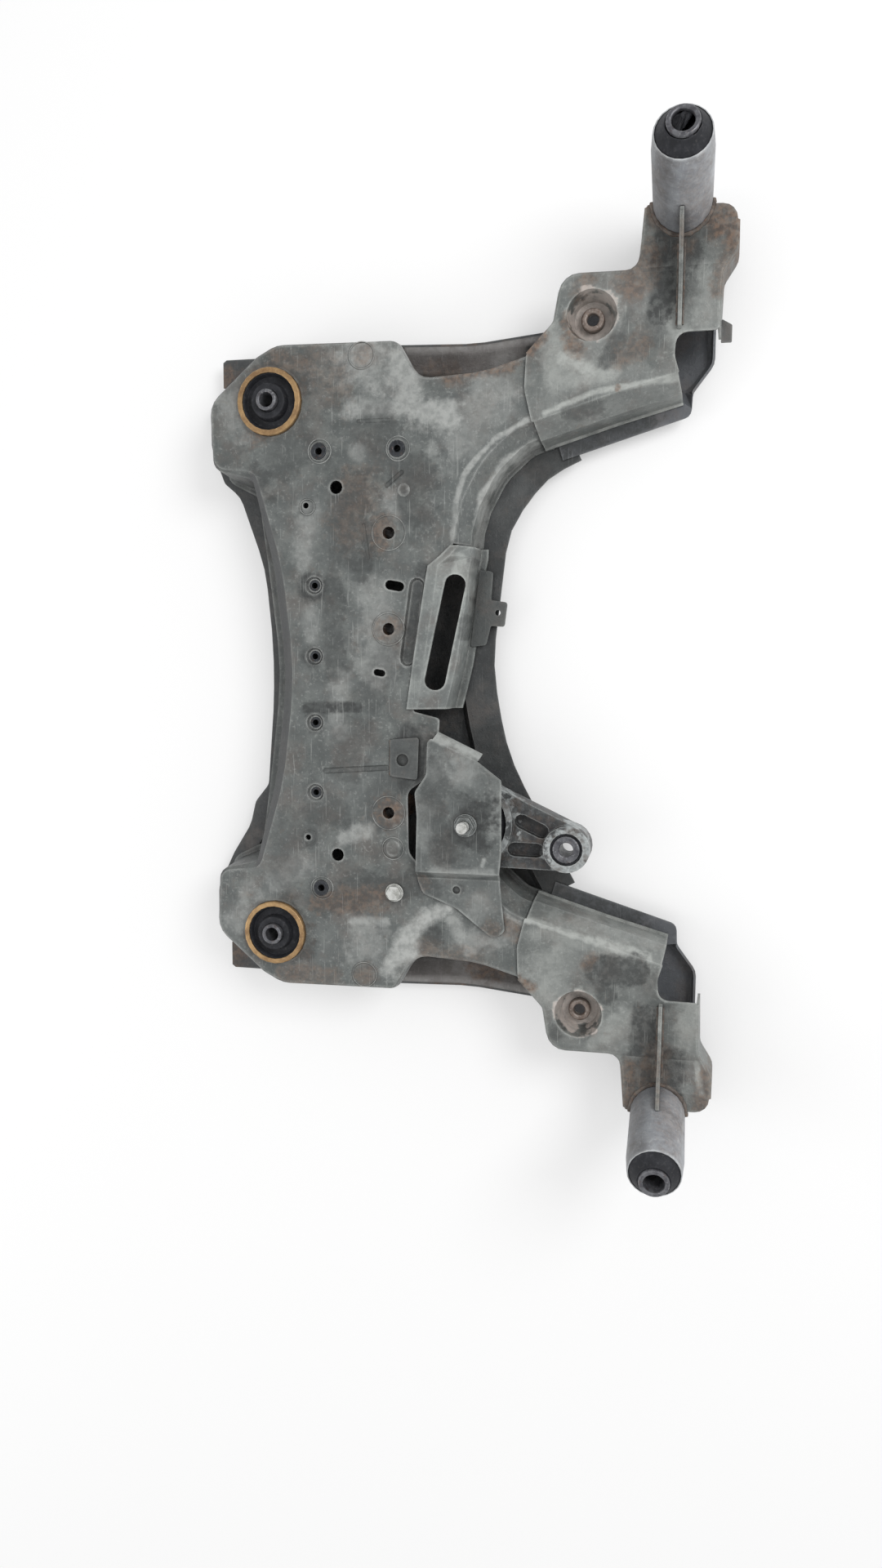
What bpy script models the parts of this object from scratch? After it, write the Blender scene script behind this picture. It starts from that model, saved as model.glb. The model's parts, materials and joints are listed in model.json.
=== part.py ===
"""Front suspension subframe of a passenger car, with its torque rod, in metres, +Z up.

+X points to the front of the car, +Y to its left, and the flat underside lies on z = 0.
Two main pressings are welded one over the other, and two arm pressings lap over them on each
side and carry a tall body mount tube. Sheets that lap keep GAP between their faces.
"""
import math

import bmesh
import bpy
from mathutils import Matrix, Vector

# Sheet metal and fits
SHEET = 0.0025          # thickness of every pressed shell
GAP = 0.0003            # clearance between faces that touch
STEP = SHEET + GAP      # from one lapped sheet to the next
ARC = math.radians(24)  # largest turn between two points of a rounded corner
ROUND = 24              # sides of every tube and bush, the same so that they nest

# Levels
DECK_Z = 0.075          # top face of the main upper shell
RIM_Z = 0.017           # underside of the lower shell's weld flange
RIM_TOP = RIM_Z + SHEET
UPPER_RIM = RIM_TOP + GAP + SHEET    # top face of the upper shell's weld flange
ARM_Z = DECK_Z + STEP                # top face of the arm shells
ARM_RIM = UPPER_RIM + STEP
FLOOR_TOP = SHEET
ARM_RISE = 0.012        # how much the arm climbs towards its tube

# Body mount tubes at the ends of the arms, which lean outwards. Heights along a tube are
# measured on its axis from HORN_Z, where it passes through the arm's top face
HORN_X = 0.228
HORN_Y = 0.4485
HORN_Z = 0.088
HORN_LEAN = math.radians(12.2)
RISE_FROM = HORN_Y - 0.0535          # where the arm starts to climb, from the car's middle
RISE_TO = RISE_FROM + 0.030
TUBE_R, TUBE_WALL = 0.028, 0.0026
TUBE_RIM = 0.1017       # height of the tube's upper rim
TUBE_NECK, NECK_LENGTH = 0.0016, 0.021   # how far the rim is drawn in, and over what length
HORN_TIP = TUBE_RIM + 0.016              # height of the sleeve's upper end
HORN_SLEEVE_R, HORN_BORE_R = 0.0149, 0.0102
HORN_RUBBER_LENGTH = 0.058
RIB_BELOW_RIM = 0.0546  # from the tube's rim down to the rib's upper end, along the tube
HORN_RIB_TOP = HORN_Z + (TUBE_RIM - RIB_BELOW_RIM) * math.cos(HORN_LEAN)

# Rear body mount bushes
REAR_X = -0.193
REAR_Y = 0.285
REAR_R, REAR_WALL = 0.035, 0.0022
REAR_LIP = 0.0055
REAR_TOP = DECK_Z + 0.006
REAR_HUB_R, REAR_SLEEVE_R, REAR_BORE_R = 0.0185, 0.01125, 0.00725
REAR_SLEEVE_TOP = REAR_TOP + 0.008
HOUSING_WALL = 0.0030

SIDE_Y = 0.339          # side edges of the deck, from the middle of the car

# Torque rod
ROD_X, ROD_Y = 0.023, -0.156
ROD_R, ROD_WALL = 0.047, 0.0065
ROD_Z0, ROD_Z1 = 0.030, 0.074
EYE_X, EYE_Y = 0.127, -0.180
EYE_R, EYE_BORE_R = 0.0245, 0.0172
EYE_Z0, EYE_Z1 = 0.036, 0.075
EYE_CORE_R, EYE_HOLE_R = 0.0145, 0.0074
ROD_CORE_R, ROD_BOLT_R = 0.0115, 0.0060
SEAT_RISE, SEAT_R = 0.0120, 0.0220
PLATE_Z = 0.089         # top face of the cover plate over the rod
PLATE_FOOT = (-0.2075, -0.2155)

# Steering rack seats and small holes of the deck
RACK_X, RACK_Y = -0.064, 0.1476
RACK_MID_Y = 0.048
RACK_HOLE_R, RACK_TUBE_R = 0.0065, 0.0140
NUT_R, NUT_HOLE_R = 0.0085, 0.0036
NUT_SPOTS = {"rear_left": (-0.140, 0.233), "rear_right": (-0.140, -0.233),
             "mid_left": (-0.055, 0.233)}
BOLT_SPOT = (-0.057, -0.234)
STUD_X = -0.146
STUD_SPOTS = {"a": 0.094, "b": 0.019, "c": -0.052, "d": -0.128}
DIMPLE_R, DIMPLE_DEPTH = 0.0095, 0.0030
STUD_R, STUD_HOLE_R = 0.0058, 0.0034
PIN_X, PIN_Y, PIN_R = -0.121, 0.1955, 0.0070
SMALL_X, SMALL_Y, SMALL_R = -0.1545, 0.1775, 0.0032

# Control arm seats in the arms
CUP_X, CUP_Y = 0.143, 0.354
CUP_R, CUP_FLOOR_R, CUP_DEPTH = 0.0250, 0.0190, 0.0240
CUP_HOLE_R = 0.0070
CUP_NUT_R, CUP_NUT_H = 0.0118, 0.0085

# Slot reinforcement
SLOT_A, SLOT_B = (0.0055, 0.0950), (-0.0150, -0.0060)
SLOT_R = 0.0100
TRIM_Z = 0.059

SIDES = (("left", 1), ("right", -1))

for old in list(bpy.data.objects):
    bpy.data.objects.remove(old, do_unlink=True)


def collection(name):
    made = bpy.data.collections.new(name)
    bpy.context.scene.collection.children.link(made)
    return made


PARTS = collection("subframe")
CUTTERS = collection("cutters")
ROOT = bpy.data.objects.new("subframe_root", None)
PARTS.objects.link(ROOT)


def material(name, color, rough, metal):
    made = bpy.data.materials.new(name)
    made.use_nodes = True
    shader = made.node_tree.nodes["Principled BSDF"]
    shader.inputs["Base Color"].default_value = (*color, 1)
    shader.inputs["Roughness"].default_value = rough
    shader.inputs["Metallic"].default_value = metal
    made.diffuse_color = (*color, 1)
    return made


PAINT = material("worn_paint", (0.19, 0.21, 0.21), 0.55, 0.3)
DARK = material("grimy_paint", (0.10, 0.11, 0.11), 0.65, 0.2)
TUBE = material("tube_paint", (0.25, 0.27, 0.28), 0.5, 0.35)
RUBBER = material("bush_rubber", (0.018, 0.019, 0.022), 0.8, 0.0)
STEEL = material("bush_steel", (0.22, 0.22, 0.23), 0.45, 0.9)
GOLD = material("passivated_steel", (0.42, 0.31, 0.14), 0.45, 0.8)
CAST = material("cast_rod", (0.20, 0.19, 0.18), 0.6, 0.5)
BRIGHT = material("bright_steel", (0.62, 0.62, 0.60), 0.3, 1.0)
RUSTY = material("rusty_steel", (0.17, 0.12, 0.09), 0.8, 0.4)


def new_object(name, bm, look, smooth=None, cutter=False):
    mesh = bpy.data.meshes.new(name)
    bm.to_mesh(mesh)
    bm.free()
    made = bpy.data.objects.new(name, mesh)
    if cutter:
        CUTTERS.objects.link(made)
        made.hide_render = True
        made.display_type = "WIRE"
    else:
        PARTS.objects.link(made)
        made.parent = ROOT
        mesh.materials.append(look)
    if smooth:
        mesh.shade_smooth()
        mesh.set_sharp_from_angle(angle=math.radians(smooth))
    return made


def ring_area(points):
    return sum(a[0] * b[1] - b[0] * a[1] for a, b in zip(points, points[1:] + points[:1])) / 2


def corner_arcs(spots, radii, counts):
    """Rounds each corner of a closed outline with counts[i] + 1 points on its arc."""
    n = len(spots)
    arcs = []
    for i in range(n):
        p, a, b = spots[i], spots[i - 1], spots[(i + 1) % n]
        to_a, to_b = (a - p), (b - p)
        reach = 0.47 * min(to_a.length, to_b.length)
        to_a, to_b = to_a.normalized(), to_b.normalized()
        half = to_a.angle(to_b) / 2
        if math.pi / 2 - half < 0.01:
            side = min(reach, radii[i] * 0.1)
            arcs.append([p + to_a * side + (to_b - to_a) * side * k / counts[i]
                         for k in range(counts[i] + 1)])
            continue
        tangent = min(reach, radii[i] / math.tan(half))
        radius = tangent * math.tan(half)
        middle = p + (to_a + to_b).normalized() * (radius / math.sin(half))
        start, end = p + to_a * tangent - middle, p + to_b * tangent - middle
        turn = math.atan2(start.x * end.y - start.y * end.x, start.dot(end))
        arc = []
        for k in range(counts[i] + 1):
            t = turn * k / counts[i]
            arc.append(middle + Vector((start.x * math.cos(t) - start.y * math.sin(t),
                                        start.x * math.sin(t) + start.y * math.cos(t))))
        arcs.append(arc)
    return arcs


def arc_counts(spots, radii):
    counts = []
    for i in range(len(spots)):
        a, p, b = spots[i - 1], spots[i], spots[(i + 1) % len(spots)]
        turn = (p - a).angle(b - p)
        long = math.ceil(radii[i] * turn / 0.036)
        counts.append(max(1, math.ceil(turn / ARC), min(long, 5)))
    return counts


def rounded(outline):
    """Closed outline of (x, y, radius) corners as a list of 2D points."""
    spots = [Vector(c[:2]) for c in outline]
    radii = [c[2] for c in outline]
    arcs = corner_arcs(spots, radii, arc_counts(spots, radii))
    return [point for arc in arcs for point in arc]


def lapped(profile, s):
    """Moves a (distance, level) section outwards by s, as a sheet lapped over it lies."""
    spots = [Vector(p) for p in profile]
    edges = [Vector((1, 0))] + [(b - a).normalized() for a, b in zip(spots, spots[1:])]
    normals = [Vector((-e.y, e.x)) for e in edges] + [Vector((-edges[-1].y, edges[-1].x))]
    out = []
    for i, p in enumerate(spots):
        n1, n2 = normals[i], normals[i + 1]
        out.append(tuple(p + (n1 + n2) * (s / (1 + n1.dot(n2)))))
    return out


def pressing(corners, sections, down=False):
    """Open pressed sheet: a flat face with drafted walls, given thickness by Solidify.

    Each corner is (x, y, radius, section, wall), where wall says if the edge after the corner
    is turned. A section lists the distance from the outline and the level of each ring."""
    spots = [Vector(c[:2]) for c in corners]
    n = len(spots)
    out = 1 if ring_area([tuple(s) for s in spots]) > 0 else -1
    edges = [(spots[(i + 1) % n] - spots[i]).normalized() for i in range(n)]
    normals = [Vector((e.y, -e.x)) * out for e in edges]
    walls = [c[4] for c in corners]
    counts = arc_counts(spots, [c[2] for c in corners])
    rings = []
    for k in range(len(sections[corners[0][3]])):
        moved, radii = [], []
        for i, c in enumerate(corners):
            d = sections[c[3]][k][0]
            n1, n2 = normals[i - 1], normals[i]
            w1, w2 = walls[i - 1], walls[i]
            if w1 and w2:
                shift = (n1 + n2) * (d / (1 + n1.dot(n2)))
            elif w1 or w2:
                shift = (n1 if w1 else n2) * d
            else:
                shift = Vector((0, 0))
            bulge = edges[i - 1].cross(edges[i]) * out
            grow = d if bulge > 0 else -d
            moved.append(spots[i] + shift)
            radii.append(max(0.0008, c[2] + (grow if w1 and w2 else 0)))
        arcs = corner_arcs(moved, radii, counts)
        rings.append([(*p, sections[corners[i][3]][k][1]) for i, arc in enumerate(arcs)
                      for p in arc])
    turned = []
    for i in range(n):
        turned += [bool(walls[i - 1] and walls[i])] * counts[i] + [bool(walls[i])]
    bm = bmesh.new()
    verts = [[bm.verts.new(p) for p in ring] for ring in rings]
    bmesh.ops.triangulate(bm, faces=[bm.faces.new(verts[0])])
    total = len(rings[0])
    for lower, upper in zip(verts, verts[1:]):
        for j in range(total):
            if turned[j]:
                m = (j + 1) % total
                bm.faces.new((lower[m], lower[j], upper[j], upper[m]))
    bmesh.ops.delete(bm, geom=[v for v in bm.verts if not v.link_faces], context="VERTS")
    bm.normal_update()
    up = sum(f.normal.z * f.calc_area() for f in bm.faces) > 0
    if up == down:
        bmesh.ops.reverse_faces(bm, faces=bm.faces)
    return bm


def thicken(made):
    shell = made.modifiers.new("sheet", "SOLIDIFY")
    shell.thickness = SHEET
    shell.offset = -1
    shell.solidify_mode = "NON_MANIFOLD"
    shell.nonmanifold_thickness_mode = "CONSTRAINTS"


def frustum(top, z_top, bottom, z_bottom):
    """Closed solid between two outlines with as many points."""
    bm = bmesh.new()
    if ring_area([tuple(p) for p in top]) < 0:
        top, bottom = top[::-1], bottom[::-1]
    high = [bm.verts.new((p[0], p[1], z_top)) for p in top]
    low = [bm.verts.new((p[0], p[1], z_bottom)) for p in bottom]
    bm.faces.new(high)
    bm.faces.new(low[::-1])
    for j in range(len(high)):
        m = (j + 1) % len(high)
        bm.faces.new((high[j], low[j], low[m], high[m]))
    return bm


def circle(x, y, r, count=20):
    return [Vector((x + r * math.cos(2 * math.pi * k / count),
                    y + r * math.sin(2 * math.pi * k / count))) for k in range(count)]


def racetrack(a, b, r, count=8):
    """Outline of a long hole with round ends centred on a and b."""
    a, b = Vector(a), Vector(b)
    turn = math.atan2((b - a).y, (b - a).x)
    points = []
    for middle, start in ((b, turn - math.pi / 2), (a, turn + math.pi / 2)):
        for k in range(count + 1):
            t = start + math.pi * k / count
            points.append(middle + Vector((math.cos(t), math.sin(t))) * r)
    return points


def joined(name, solids):
    """One cutter object from closed solids that stand apart."""
    bm = bmesh.new()
    for solid in solids:
        mesh = bpy.data.meshes.new("one")
        solid.to_mesh(mesh)
        solid.free()
        bm.from_mesh(mesh)
        bpy.data.meshes.remove(mesh)
    return new_object(name, bm, None, cutter=True)


def boolean(made, other, operation):
    step = made.modifiers.new(other.name, "BOOLEAN")
    step.operation = operation
    step.solver = "EXACT"
    step.object = other


def hole(x, y, r, z0, z1, count=20):
    points = circle(x, y, r, count)
    return frustum(points, z1, points, z0)


def cup(adds, cuts, x, y, level, r_top, r_floor, depth, count=28, up=False):
    """Round pressed recess in a sheet whose outer face is at level."""
    s = -1 if up else 1
    low, sheet = level - s * depth, s * SHEET
    outer = (circle(x, y, r_top + SHEET * 0.8, count), circle(x, y, r_floor + SHEET * 0.8, count))
    inner = (circle(x, y, r_top + 0.0004 * (r_top - r_floor) / depth, count),
             circle(x, y, r_floor, count))
    if up:
        adds.append(frustum(outer[1], low - sheet, outer[0], level - sheet * 0.5))
        cuts.append(frustum(inner[1], low, inner[0], level + 0.0004))
    else:
        adds.append(frustum(outer[0], level - sheet * 0.5, outer[1], low - sheet))
        cuts.append(frustum(inner[0], level + 0.0004, inner[1], low))


def turned(name, profile, look, at=(0, 0, 0), count=32, lean=0):
    """Solid of revolution about the axis through at, from a closed (radius, height) profile
    that runs down its outer side and back up its bore."""
    bm = bmesh.new()
    verts = [bm.verts.new((r, 0, z)) for r, z in profile]
    for a, b in zip(verts, verts[1:] + verts[:1]):
        bm.edges.new((a, b))
    made = new_object(name, bm, look)
    made.location = (*at, 0)[:3]
    made.rotation_euler.x = -lean
    screw = made.modifiers.new("turn", "SCREW")
    screw.steps = screw.render_steps = count
    screw.use_merge_vertices = True
    screw.merge_threshold = 0.00001
    screw.use_smooth_shade = True
    return made


# Sections of the pressings: (distance outwards, level) of each ring
FRONT = [(0, DECK_Z), (0.0145, DECK_Z - 0.022), (0.0170, UPPER_RIM), (0.0225, UPPER_RIM)]
UPPER_SECTIONS = {
    "rear": [(0, DECK_Z), (0.011, DECK_Z - 0.008), (0.026, UPPER_RIM), (0.034, UPPER_RIM)],
    "nook": [(0, DECK_Z), (0.007, DECK_Z - 0.007), (0.015, UPPER_RIM), (0.021, UPPER_RIM)],
    "bush": [(0, DECK_Z), (0.002, DECK_Z - 0.003), (0.004, UPPER_RIM), (0.007, UPPER_RIM)],
    "side": [(0, DECK_Z), (0.002, DECK_Z - 0.0015), (0.0032, DECK_Z - 0.007),
             (0.0038, DECK_Z - 0.014)],
    "front": FRONT,
}
ARM_SECTIONS = {
    "front": lapped(FRONT, STEP + GAP),
    "lip": [(0, ARM_Z), (0.002, ARM_Z - 0.0015), (0.0032, ARM_Z - 0.007),
            (0.0038, ARM_Z - 0.013)],
    "neck": [(0, ARM_Z), (0.002, ARM_Z - 0.002), (0.0032, ARM_Z - 0.026),
             (0.0040, RIM_TOP + 0.014)],
}
LOWER_SECTIONS = {
    "rear": [(-0.028, 0), (-0.019, RIM_Z), (0, RIM_Z)],
    "bush": [(-0.016, 0), (-0.010, RIM_Z), (0, RIM_Z)],
    "side": [(-0.009, 0), (-0.002, 0.005), (0, RIM_Z)],
    "front": [(-0.042, 0), (-0.034, RIM_Z), (0, RIM_Z)],
}
ARM_LOWER_SECTIONS = {
    "front": [(-0.0385, STEP), (-0.0305, RIM_Z + STEP), (0, RIM_Z + STEP)],
    "side": lapped(LOWER_SECTIONS["side"], STEP),
    "tube": [(-0.0045, STEP), (-0.0015, STEP + 0.006), (0, RIM_Z + STEP)],
}


def placed(x, y, corners):
    """Corners given from a point of their own, moved to x, y."""
    return [(x + c[0], y + c[1], *c[2:]) for c in corners]


def mirrored(corners):
    """The same corners on the other side of the car, in the order that keeps the edges' flags."""
    flipped = []
    for i, c in enumerate(corners):
        wall = corners[i - 1][4] if i else None
        flipped.append((c[0], -c[1], c[2], c[3], wall))
    return flipped[::-1]


def upper_shell():
    left = [(-0.171, 0.022, 0.300, "rear", 1), (-0.182, 0.115, 0.200, "rear", 1)]
    left += placed(REAR_X, REAR_Y, [
        (-0.018, -0.071, 0.014, "nook", 1), (-0.064, -0.066, 0.012, "bush", 1),
        (-0.067, 0.000, 0.024, "bush", 1), (-0.0145, 0.0455, 0.012, "bush", 1),
        (0.008, 0.0560, 0.030, "side", 1)])
    left += [(-0.058, SIDE_Y, 0.008, "side", 1), (-0.036, SIDE_Y - 0.039, 0.026, "side", 1),
             (0.034, SIDE_Y - 0.035, 0.080, "side", 1), (0.082, 0.318, 0.003, "side", 0),
             (0.092, 0.290, 0.010, "front", 0), (0.098, 0.259, 0.002, "front", 1)]
    bridge = [(0.070, 0.251, 0.050, "front", 1), (0.034, 0.218, 0.050, "front", 1),
              (0.008, 0.168, 0.080, "front", 1), (0.0050, 0.1350, 0.002, "front", 0),
              (-0.0165, 0.1115, 0.006, "front", 0), (-0.0370, -0.0385, 0.003, "front", 0),
              (-0.0085, -0.0455, 0.004, "front", 0), (-0.0100, -0.067, 0.003, "front", 0),
              (-0.0210, -0.074, 0.006, "front", 0), (-0.0240, -0.110, 0.010, "front", 0),
              (-0.0430, -0.124, 0.012, "front", 0), (-0.0415, -0.190, 0.014, "front", 0),
              (-0.020, -0.214, 0.012, "front", 0), (0.034, -0.218, 0.002, "front", 1),
              (0.070, -0.251, 0.050, "front", 1)]
    right = mirrored(left)
    right[-1] = right[-1][:4] + (1,)
    bm = pressing(left + bridge + right, UPPER_SECTIONS)
    made = new_object("upper_shell", bm, PAINT)
    thicken(made)
    adds, cuts = [], []
    low, high = DECK_Z - 0.012, DECK_Z + 0.010
    for x, y in NUT_SPOTS.values():
        cuts.append(hole(x, y, NUT_R + GAP, low, high, 14))
    cuts.append(hole(*BOLT_SPOT, 0.0065, low, high, 12))
    for s in (1, -1):
        cuts.append(hole(REAR_X, s * REAR_Y, REAR_R + GAP, low, high, ROUND))
        cuts.append(hole(RACK_X, s * RACK_Y, RACK_HOLE_R, low, high, 12))
        cuts.append(hole(PIN_X, s * PIN_Y, PIN_R, low, high, 12))
        cuts.append(hole(SMALL_X, s * SMALL_Y, SMALL_R, low, high, 12))
    cuts.append(hole(RACK_X, RACK_MID_Y, RACK_HOLE_R, low, high, 12))
    for y in STUD_SPOTS.values():
        cup(adds, cuts, STUD_X, y, DECK_Z, DIMPLE_R, STUD_R + 0.0015, DIMPLE_DEPTH, 14)
    through = [hole(STUD_X, y, STUD_R + GAP, low - 0.004, DECK_Z - DIMPLE_DEPTH / 2, 12)
               for y in STUD_SPOTS.values()]
    for a, b, r in (((-0.063, 0.094), (-0.052, 0.092), 0.0050),
                    ((-0.077, 0.0025), (-0.071, 0.0015), 0.0036)):
        points = racetrack(a, b, r, 5)
        cuts.append(frustum(points, high, points, low))
    groove = racetrack((-0.0335, 0.0930), (-0.0435, 0.0170), 0.0085, 5)
    floor = racetrack((-0.0335, 0.0930), (-0.0435, 0.0170), 0.0060, 5)
    wide = racetrack((-0.0335, 0.0930), (-0.0435, 0.0170), 0.0105, 5)
    mid = racetrack((-0.0335, 0.0930), (-0.0435, 0.0170), 0.0080, 5)
    adds.append(frustum(wide, DECK_Z - SHEET / 2, mid, DECK_Z - 0.004 - SHEET))
    cuts.append(frustum(groove, DECK_Z + 0.0004, floor, DECK_Z - 0.004))
    boolean(made, joined("upper_adds", adds), "UNION")
    boolean(made, joined("upper_cuts", cuts), "DIFFERENCE")
    boolean(made, joined("upper_holes", through), "DIFFERENCE")
    return made


def lower_shell():
    middle = [(-0.213, 0.030, 0.350, "rear", 1)]
    rear = middle + [(-0.2215, 0.116, 0.180, "rear", 1)]
    rear += placed(REAR_X, REAR_Y, [(-0.057, -0.0895, 0.030, "rear", 1),
                                    (-0.0755, -0.0740, 0.010, "rear", 1)])
    stepped = middle + [(-0.2205, 0.127, 0.012, "rear", 1), (-0.2365, 0.147, 0.014, "rear", 1)]
    stepped += placed(REAR_X, REAR_Y, [(-0.050, -0.111, 0.030, "rear", 1),
                                       (-0.071, -0.077, 0.030, "rear", 1)])
    end = placed(REAR_X, REAR_Y, [
        (-0.0905, -0.036, 0.024, "bush", 1), (-0.091, 0.009, 0.014, "bush", 1),
        (-0.0735, 0.028, 0.020, "bush", 1), (-0.029, 0.058, 0.018, "bush", 1),
        (0.002, 0.071, 0.030, "side", 1)])
    end += [(0.016, SIDE_Y + 0.010, 0.150, "side", 1), (0.101, SIDE_Y + 0.019, 0.003, "side", 0),
            (0.1320, 0.2258, 0.002, "front", 1)]
    left = rear + end
    bridge = [(0.094, 0.208, 0.090, "front", 1), (0.054, 0.155, 0.090, "front", 1),
              (0.038, 0.010, 0.200, "front", 1), (0.0555, -0.087, 0.240, "front", 1)]
    right = mirrored(stepped + end)
    right[-1] = right[-1][:4] + (1,)
    bm = pressing(left + bridge + right, LOWER_SECTIONS, down=True)
    made = new_object("lower_shell", bm, DARK)
    thicken(made)
    adds, cuts = [], []
    for s in (1, -1):
        tab = [Vector((REAR_X + x, s * (REAR_Y + y))) for x, y in
               ((-0.0755, 0.030), (-0.067, 0.029), (-0.043, 0.045), (-0.024, 0.057),
                (-0.030, 0.060), (-0.0715, 0.060), (-0.0755, 0.057))]
        adds.append(frustum(tab, RIM_TOP - GAP, tab, RIM_Z + GAP))
        cuts.append(hole(REAR_X, s * REAR_Y, 0.0230, -0.005, 0.009, 16))
        cuts.append(hole(RACK_X, s * RACK_Y, RACK_HOLE_R, -0.005, 0.009, 12))
        cuts.append(hole(-0.093, s * 0.328, 0.0072, -0.005, 0.009, 12))
    cuts.append(hole(RACK_X, RACK_MID_Y, RACK_HOLE_R, -0.005, 0.009, 12))
    cup(adds, cuts, ROD_X, ROD_Y, 0.0, SEAT_R + 0.006, SEAT_R, SEAT_RISE, 24, up=True)
    boolean(made, joined("lower_adds", adds), "UNION")
    boolean(made, joined("lower_cuts", cuts), "DIFFERENCE")
    boolean(made, joined("seat_hole", [hole(ROD_X, ROD_Y, ROD_BOLT_R + 0.0005, SEAT_RISE - 0.003,
                                            SEAT_RISE + 0.006, 16)]), "DIFFERENCE")
    return made


def bisected(bm, levels):
    for y in levels:
        geometry = bm.verts[:] + bm.edges[:] + bm.faces[:]
        bmesh.ops.bisect_plane(bm, geom=geometry, plane_co=(0, y, 0), plane_no=(0, 1, 0),
                               dist=1e-6)


def climb(y):
    return ARM_RISE * min(1, max(0, (abs(y) - RISE_FROM) / (RISE_TO - RISE_FROM)))


def side_corners(corners, s):
    return corners if s > 0 else mirrored_loop(corners)


def mirrored_loop(corners):
    """Closed loop mirrored to the right side; each edge keeps its flag."""
    n = len(corners)
    return [(c[0], -c[1], c[2], c[3], corners[(i - 1) % n][4])
            for i, c in reversed(list(enumerate(corners)))]


def arm_upper(side, s):
    corners = [(0.0785, 0.3190, 0.004, "lip", 1), (0.1070, 0.3490, 0.014, "lip", 1)]
    corners += placed(CUP_X, CUP_Y, [(-0.0285, 0.039, 0.018, "lip", 1)])
    corners += placed(HORN_X, HORN_Y, [
        (-0.0380, -0.056, 0.016, "lip", 1), (-0.0335, 0.000, 0.002, "neck", 0),
        (0.0515, -0.004, 0.015, "neck", 1), (0.0515, -0.0385, 0.014, "neck", 1),
        (0.0380, -0.0595, 0.018, "neck", 1), (0.0365, -0.1145, 0.002, "neck", 0)])
    corners += [(0.2255, 0.3335, 0.012, "neck", 0), (0.2240, 0.312, 0.012, "neck", 0),
                (0.2285, 0.2975, 0.001, "front", 1), (0.165, 0.2800, 0.200, "front", 1),
                (0.0845, 0.2552, 0.002, "front", 0), (0.0770, 0.286, 0.020, "lip", 0)]
    bm = pressing(side_corners(corners, s), ARM_SECTIONS)
    bisected(bm, [s * RISE_FROM, s * RISE_TO])
    for v in bm.verts:
        v.co.z += climb(v.co.y) * (v.co.z - ARM_RIM) / (ARM_Z - ARM_RIM)
    made = new_object(f"arm_upper_{side}", bm, PAINT)
    thicken(made)
    adds, cuts = [], []
    cup(adds, cuts, CUP_X, s * CUP_Y, ARM_Z, CUP_R, CUP_FLOOR_R, CUP_DEPTH, 24)
    bore = hole(0, 0, TUBE_R + GAP, -0.09, 0.03, ROUND)
    bore.transform(Matrix.Translation((HORN_X, s * HORN_Y, HORN_Z))
                   @ Matrix.Rotation(-s * HORN_LEAN, 4, "X"))
    cuts.append(bore)
    boolean(made, joined(f"arm_adds_{side}", adds), "UNION")
    boolean(made, joined(f"arm_cuts_{side}", cuts), "DIFFERENCE")
    low = ARM_Z - CUP_DEPTH
    boolean(made, joined(f"cup_hole_{side}", [hole(CUP_X, s * CUP_Y, CUP_HOLE_R, low - 0.006,
                                                   low + 0.004, 16)]), "DIFFERENCE")
    return made


def arm_lower(side, s):
    corners = [(0.086, SIDE_Y + 0.0115, 0.003, "side", 1), (0.108, 0.353, 0.010, "side", 1)]
    corners += placed(CUP_X, CUP_Y, [(-0.0285, 0.040, 0.018, "side", 1)])
    corners += placed(HORN_X, HORN_Y, [
        (-0.0390, -0.0545, 0.016, "side", 1), (-0.0360, 0.0215, 0.036, "tube", 1),
        (0.0360, 0.0215, 0.036, "tube", 1), (0.0370, -0.0010, 0.003, "tube", 1),
        (0.0520, -0.0030, 0.015, "tube", 1), (0.0520, -0.0385, 0.014, "tube", 1),
        (0.0385, -0.0595, 0.018, "side", 1), (0.0385, -0.1335, 0.021, "side", 1)])
    corners += [(0.2455, 0.2870, 0.008, "side", 1), (0.2415, 0.2650, 0.009, "front", 1),
                (0.1090, 0.2240, 0.002, "front", 0)]
    bm = pressing(side_corners(corners, s), ARM_LOWER_SECTIONS, down=True)
    made = new_object(f"arm_lower_{side}", bm, DARK)
    thicken(made)
    cuts = [hole(CUP_X, s * CUP_Y, CUP_HOLE_R, -0.005, 0.012, 16),
            hole(HORN_X, s * horn_axis(STEP), 0.0160, -0.005, 0.012, 20)]
    boolean(made, joined(f"arm_lower_cuts_{side}", cuts), "DIFFERENCE")
    return made


def horn_axis(level):
    """Distance of a tube's axis from the middle of the car at a level."""
    return HORN_Y + (level - HORN_Z) * math.tan(HORN_LEAN)


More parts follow.
